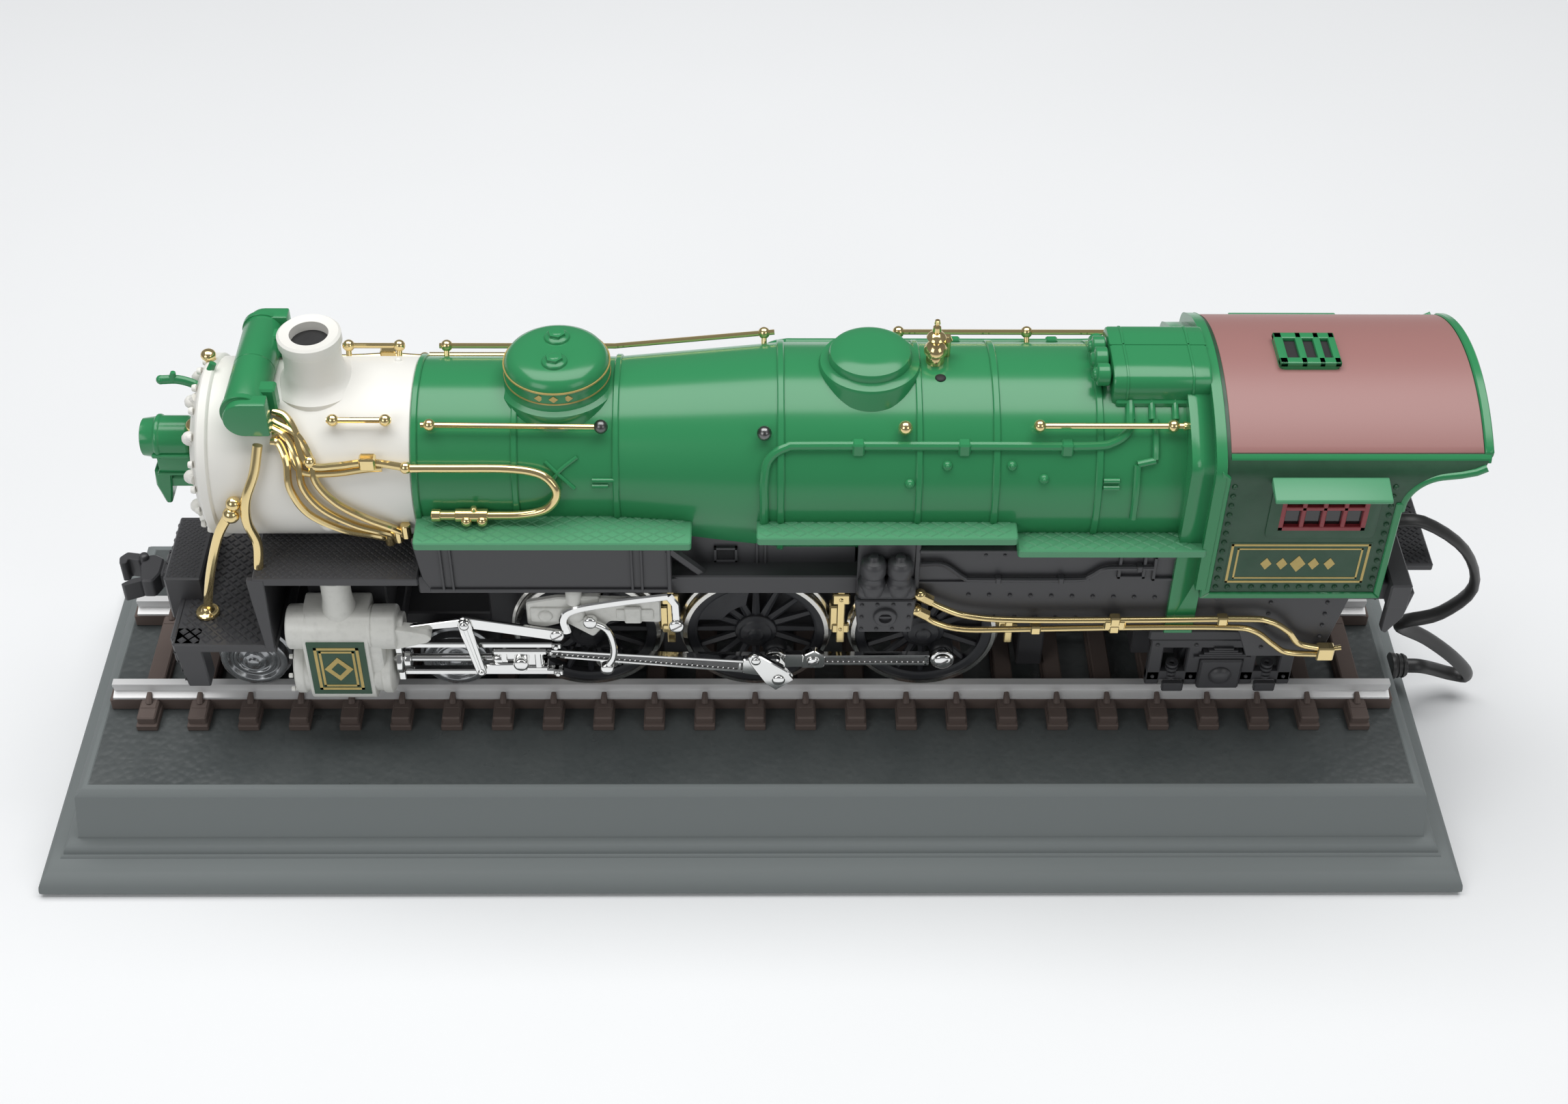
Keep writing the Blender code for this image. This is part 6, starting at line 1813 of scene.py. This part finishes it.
def cab_side(side_name, side):
    """Raised edges, rivets, the window with its awning, and the framed panel below."""
    shape = Shape("green", side)
    y = CAB_HALF
    for outline in (
        [(127.9, 93.7), (130.6, 96.2), (130.6, 139.4), (127.9, 141.6)],
        [(127.9, 93.7), (179.7, 93.7), (177.6, 95.9), (130.4, 95.9)],
        [(179.7, 93.7), (179.7, 130.2), (177.6, 130.2), (177.6, 95.9)],
    ):
        shape.plate(outline, y - 0.6, y + 0.55, bevel=0.3)
    rim = arc((190.4, 128.6), 10.8, 176, 100, 10) + [(193.6, 139.9), (197.6, 140.9), (200.2, 142.4)]
    route = [Vector((x, y - 0.5, z)) for x, z in [(179.6, 127.0), *rim]]
    shape.sweep(route, None, 10, flat=(1.1, 1.0, (0, 0, 1)))
    for i in range(14):
        shape.rivet((132.0 + i * 3.41, y, 98.0), 0.85, "green_flat")
    for i in range(1, 12):
        shape.rivet((132.0, y, 98.0 + i * 3.45), 0.85, "green_flat")
        shape.rivet((176.3, y, 98.0 + i * 3.45), 0.85, "green_flat")
    plate = Shape("green_flat", side)
    plate.plate(rounded(rectangle(142.8, 173.6, 117.0, 137.6), 2.4), y - 0.8, y + 0.45, bevel=0.3,
                segments=2)
    obj = plate.object(f"window_surround_{side_name}")
    hole = Shape("green_flat", side)
    hole.plate(rectangle(146.2, 170.4, 120.2, 135.8), y - 3, y + 3, bevel=0.0)
    settle(carved(obj, hole), "handset", "green")
    awning = [(y - 0.8, 136.8), (y - 0.8, 139.4), (y + 7.2, 137.4), (y + 7.6, 136.6), (y + 7.2, 136.0)]
    shape.plate(awning, 141.9, 174.0, "yz", 0.35, "board", 2)
    shape.piece(f"cab_side_{side_name}", "handset", "green")
    window = Shape("red", side)
    x0, x1, z0, z1 = 146.0, 170.6, 120.0, 136.0
    surround(window, x0, x1, z0, z1, 1.5, y - 1.4, y + 0.5, 0.2)
    for k in range(1, 4):
        x = x0 + 0.75 + (x1 - x0 - 1.5) * k / 4
        window.box((x - 0.65, y - 1.4, z0), (x + 0.65, y + 0.4, z1), 0.2)
    window.box((x0, y - 1.4, 127.4), (x1, y + 0.4, 128.7), 0.2)
    window.box((x0 - 0.6, y - 2.0, z0 - 0.6), (x1 + 0.6, y - 0.9, z1 + 0.6), 0.1, "pane")
    window.piece(f"cab_window_{side_name}", "handset", "maroon")
    panel = Shape("green_flat", side)
    panel.plate(rounded(rectangle(133.8, 174.2, 99.4, 115.2), 0.5), y - 0.3, y + 0.1, bevel=0.05)
    surround(panel, 134.3, 173.6, 99.8, 114.7, 0.75, y + 0.05, y + 0.22, 0.03, "gold_print")
    surround(panel, 136.2, 171.7, 101.4, 113.1, 0.55, y + 0.05, y + 0.22, 0.03, "gold_print")
    x, z = 154.0, 107.2
    for dx, size in ((-9.0, 0.9), (-4.5, 0.9), (0.0, 1.25), (4.5, 0.9), (9.0, 0.9)):
        outline = lozenge(x + dx, z, 1.8 * size, 2.5 * size)
        panel.plate(outline, y + 0.02, y + 0.24, bevel=0.03, paint="gold_print")
    panel.piece(f"cab_panel_{side_name}", "handset", "green")


def roof():
    """The maroon inset between green rims, and the slotted hatch with painted shade between its slats."""
    centre = CAB_TOP - CAB_ARCH_RADIUS

    def strip(target, x0, x1, inner, outer, half_width, bevel, paint=None):
        points = []
        for grow, turn in ((outer, 1), (inner, -1)):
            start = math.degrees(math.asin(half_width / (CAB_ARCH_RADIUS + grow)))
            points += arc((0, centre), CAB_ARCH_RADIUS + grow, 90 + turn * start, 90 - turn * start, 36)
        target.plate(points, x0, x1, "yz", bevel, paint)

    shape = Shape("maroon")
    strip(shape, 130.4, 199.6, -0.3, 0.25, 31.2, 0.1)
    shape.piece("roof_covering", "handset", "maroon", "roof_panel")
    rim = Shape("green")
    strip(rim, 199.8, 202.3, -1.0, 0.7, 31.6, 0.35)
    for side in SIDES.values():
        angle = math.asin(31.5 / CAB_ARCH_RADIUS)
        lip = [(side * 31.45, centre + CAB_ARCH_RADIUS * math.cos(angle) - 0.6)]
        top = (CAB_ARCH_RADIUS + 0.35) * math.cos(angle) + centre
        lip += [(side * 31.45, top), (side * 32.6, top - 0.75), (side * 33.0, top - 2.2)]
        rim.plate(lip, 130.4, 201.6, "yz", 0.1)
    hatch_z = CAB_TOP + 0.2
    rim.plate(rounded(rectangle(146.0, 163.3, -7.0, 7.0), 2.0), hatch_z - 0.9, hatch_z + 0.7, "xy", 0.3)
    for x0, x1 in ((146.0, 148.6), (151.9, 154.0), (156.9, 159.0), (161.2, 163.3)):
        rim.box((x0, -7.0, hatch_z + 0.4), (x1, 7.0, hatch_z + 2.0), 0.4, segments=2)
    for y0, y1 in ((-7.0, -4.3), (4.3, 7.0)):
        rim.box((146.0, y0, hatch_z + 0.4), (163.3, y1, hatch_z + 2.0), 0.4, segments=2)
    # A matt-black sheet under the slats: painted shade in the gaps between them.
    rim.box((148.0, -4.6, hatch_z + 0.5), (162.0, 4.6, hatch_z + 0.85), 0.0, "matt_black")
    rim.piece("roof_rims", "handset", "green")


def cab_front():
    """The rim round the front wall, the collar where the boiler meets it, and its two small windows."""
    shape = Shape("green")
    shape.plate(cab_outline(-0.7, CAB_FLOOR), 126.2, 129.2, "yz", 0.0)
    obj = shape.object("cab_front_rim")
    inner = Shape("green")
    inner.plate(cab_outline(2.0, CAB_FLOOR - 20), 120.0, 128.2, "yz", 0.0)
    inner.plate(cab_outline(1.2, CAB_FLOOR - 20), 127.9, 140.0, "yz", 0.0)
    settle(carved(obj, inner), "handset", "green")
    softened(obj, 0.5)
    collar = Shape("green")
    profile = [(FIREBOX_RADIUS - 0.5, 0), (FIREBOX_RADIUS + 2.2, 0), (FIREBOX_RADIUS + 1.2, -1.6),
               (FIREBOX_RADIUS - 0.5, -1.6)]
    collar.turn("x", (BOILER_BACK, 0, BOILER_Z), profile, 96, ring=True)
    obj = collar.object("cab_collar")
    settle(carved(obj, below_floor()), "handset", "green")


def cab_glands():
    """Tapered reliefs at both ends of the cord."""
    shape = Shape("rubber")
    x, y, z = CORD_EXIT
    for i in range(5):
        start = 174.0 + i * 2.0
        half = 4.0 - 0.24 * i
        shape.box((start, y - half, z - 2.6), (start + 1.6, y + half, z + 2.4 - 0.12 * i), 0.3)
    shape.box((174.0, y - 2.9, z - 2.2), (x - 0.2, y + 2.9, z + 1.9), 0.4)
    shape.piece("handset_cord_relief", "handset", "rubber", "handset_cord_gland")
    base = Shape("rubber")
    x, y, z = CORD_ENTRY
    base.turn("x", (0, y, z), [(0, 207.6), (4.4, 207.6), (4.4, 209.0), (3.9, 209.4), (3.5, 212.9),
                               (0, 213.1)], 28)
    for start in (209.9, 211.4):
        base.turn("x", (start, y, z), [(3.2, 0), (4.1, 0), (3.9, 0.8), (3.2, 0.8)], 28, ring=True, ease=0.1)
    base.piece("plinth_cord_relief", "base", "rubber", "base_cord_gland")


def injector_pipes():
    """Two gold pipes along the near side, from unions at the pump to a common end block."""
    shape = Shape("gold", -1)
    upper = [(49.5, 34.0, 92.0), (54.0, 34.2, 89.0), (62.0, 34.4, 85.6), (76.0, 34.6, 84.2),
             (110.0, 34.6, 84.2),
             (142.0, 34.6, 84.6), (150.0, 34.6, 83.6), (156.0, 34.6, 79.4), (160.0, 34.6, 74.4),
             (167.0, 34.6, 72.4)]
    lower = [(48.6, 34.0, 86.0), (53.0, 34.2, 82.6), (61.0, 34.4, 80.2), (76.0, 34.6, 80.4),
             (110.0, 34.6, 81.2),
             (138.0, 34.6, 81.2), (146.0, 34.6, 79.6), (152.0, 34.6, 74.4), (157.0, 34.6, 70.8),
             (167.0, 34.6, 70.0)]
    shape.tube(upper, 0.95, 6, 12)
    shape.tube(lower, 0.95, 6, 12)
    for x, z in ((47.8, 93.2), (47.0, 87.2)):
        shape.rod((x, 33.8, z), (x + 3.4, 34.0, z - 2.0), 1.7, sides=6)
        shape.ball((x, 33.6, z + 0.2), 1.9)
    for x, z in ((82.0, 80.8), (104.8, 84.3), (104.8, 81.3), (136.0, 84.4)):
        shape.box((x - 1.5, 33.2, z - 1.5), (x + 1.5, 36.0, z + 1.5), 0.4)
    shape.box((101.6, 33.4, 81.0), (108.0, 35.8, 84.6), 0.5)
    shape.box((165.6, 33.0, 68.6), (170.6, 36.2, 73.6), 0.4)
    shape.rod((170.0, 34.6, 72.4), (172.6, 34.6, 72.8), 0.8)
    shape.piece("injector_piping", "base", "gold", "injector_pipe")


def plunger():
    """The hook-switch plunger that the handset presses down."""
    shape = Shape("ivory")
    profile = [(0, 101.0), (1.5, 101.0), (2.2, 100.3), (2.2, 88.6), (0, 88.6)]
    shape.turn("z", (PLUNGER_X, 0, 0), profile, 24)
    shape.piece("hook_switch_plunger", "hook_plunger", "ivory", "hook_plunger")


def build():
    """Everything in the scene, in order."""
    bpy.context.scene.view_settings.view_transform = "Standard"
    camera()
    handset_cord()
    studio()
    plinth()
    line_jack()
    sleepers()
    paint_nodes()
    for index in (1, 2, 3):
        driver_wheels(index)
    for i, x in enumerate(PILOT_X, 1):
        small_wheels(f"pilot_wheels_{i}", f"pilot_axle_{i}", f"pilot_axle_{i}", x, PILOT_RADIUS,
                     "clear_wheel")
    small_wheels("trailing_wheels", "trailing_axle", "trailing_axle", TRAILING_X, TRAILING_RADIUS,
                 "wheel_black")
    for side_name, side in SIDES.items():
        side_rod(side_name, side)
        main_rod(side_name, side)
        crosshead(side_name, side)
        combination_lever(side_name, side)
        guide_bars(side_name, side)
        valve_gear(side_name, side)
        motion_bracket(side_name, side)
        cylinder(side_name, side)
    chassis()
    air_pump()
    coupler()
    smokebox()
    smokebox_door()
    stack()
    headlight()
    bell_arm()
    feedwater_heater()
    boiler()
    boiler_fittings()
    domes()
    safety_valve()
    turret()
    for side_name, side in SIDES.items():
        front_pipes(side_name, side)
        handrails(side_name, side)
    cab()
    cab_glands()
    injector_pipes()
    plunger()


build()
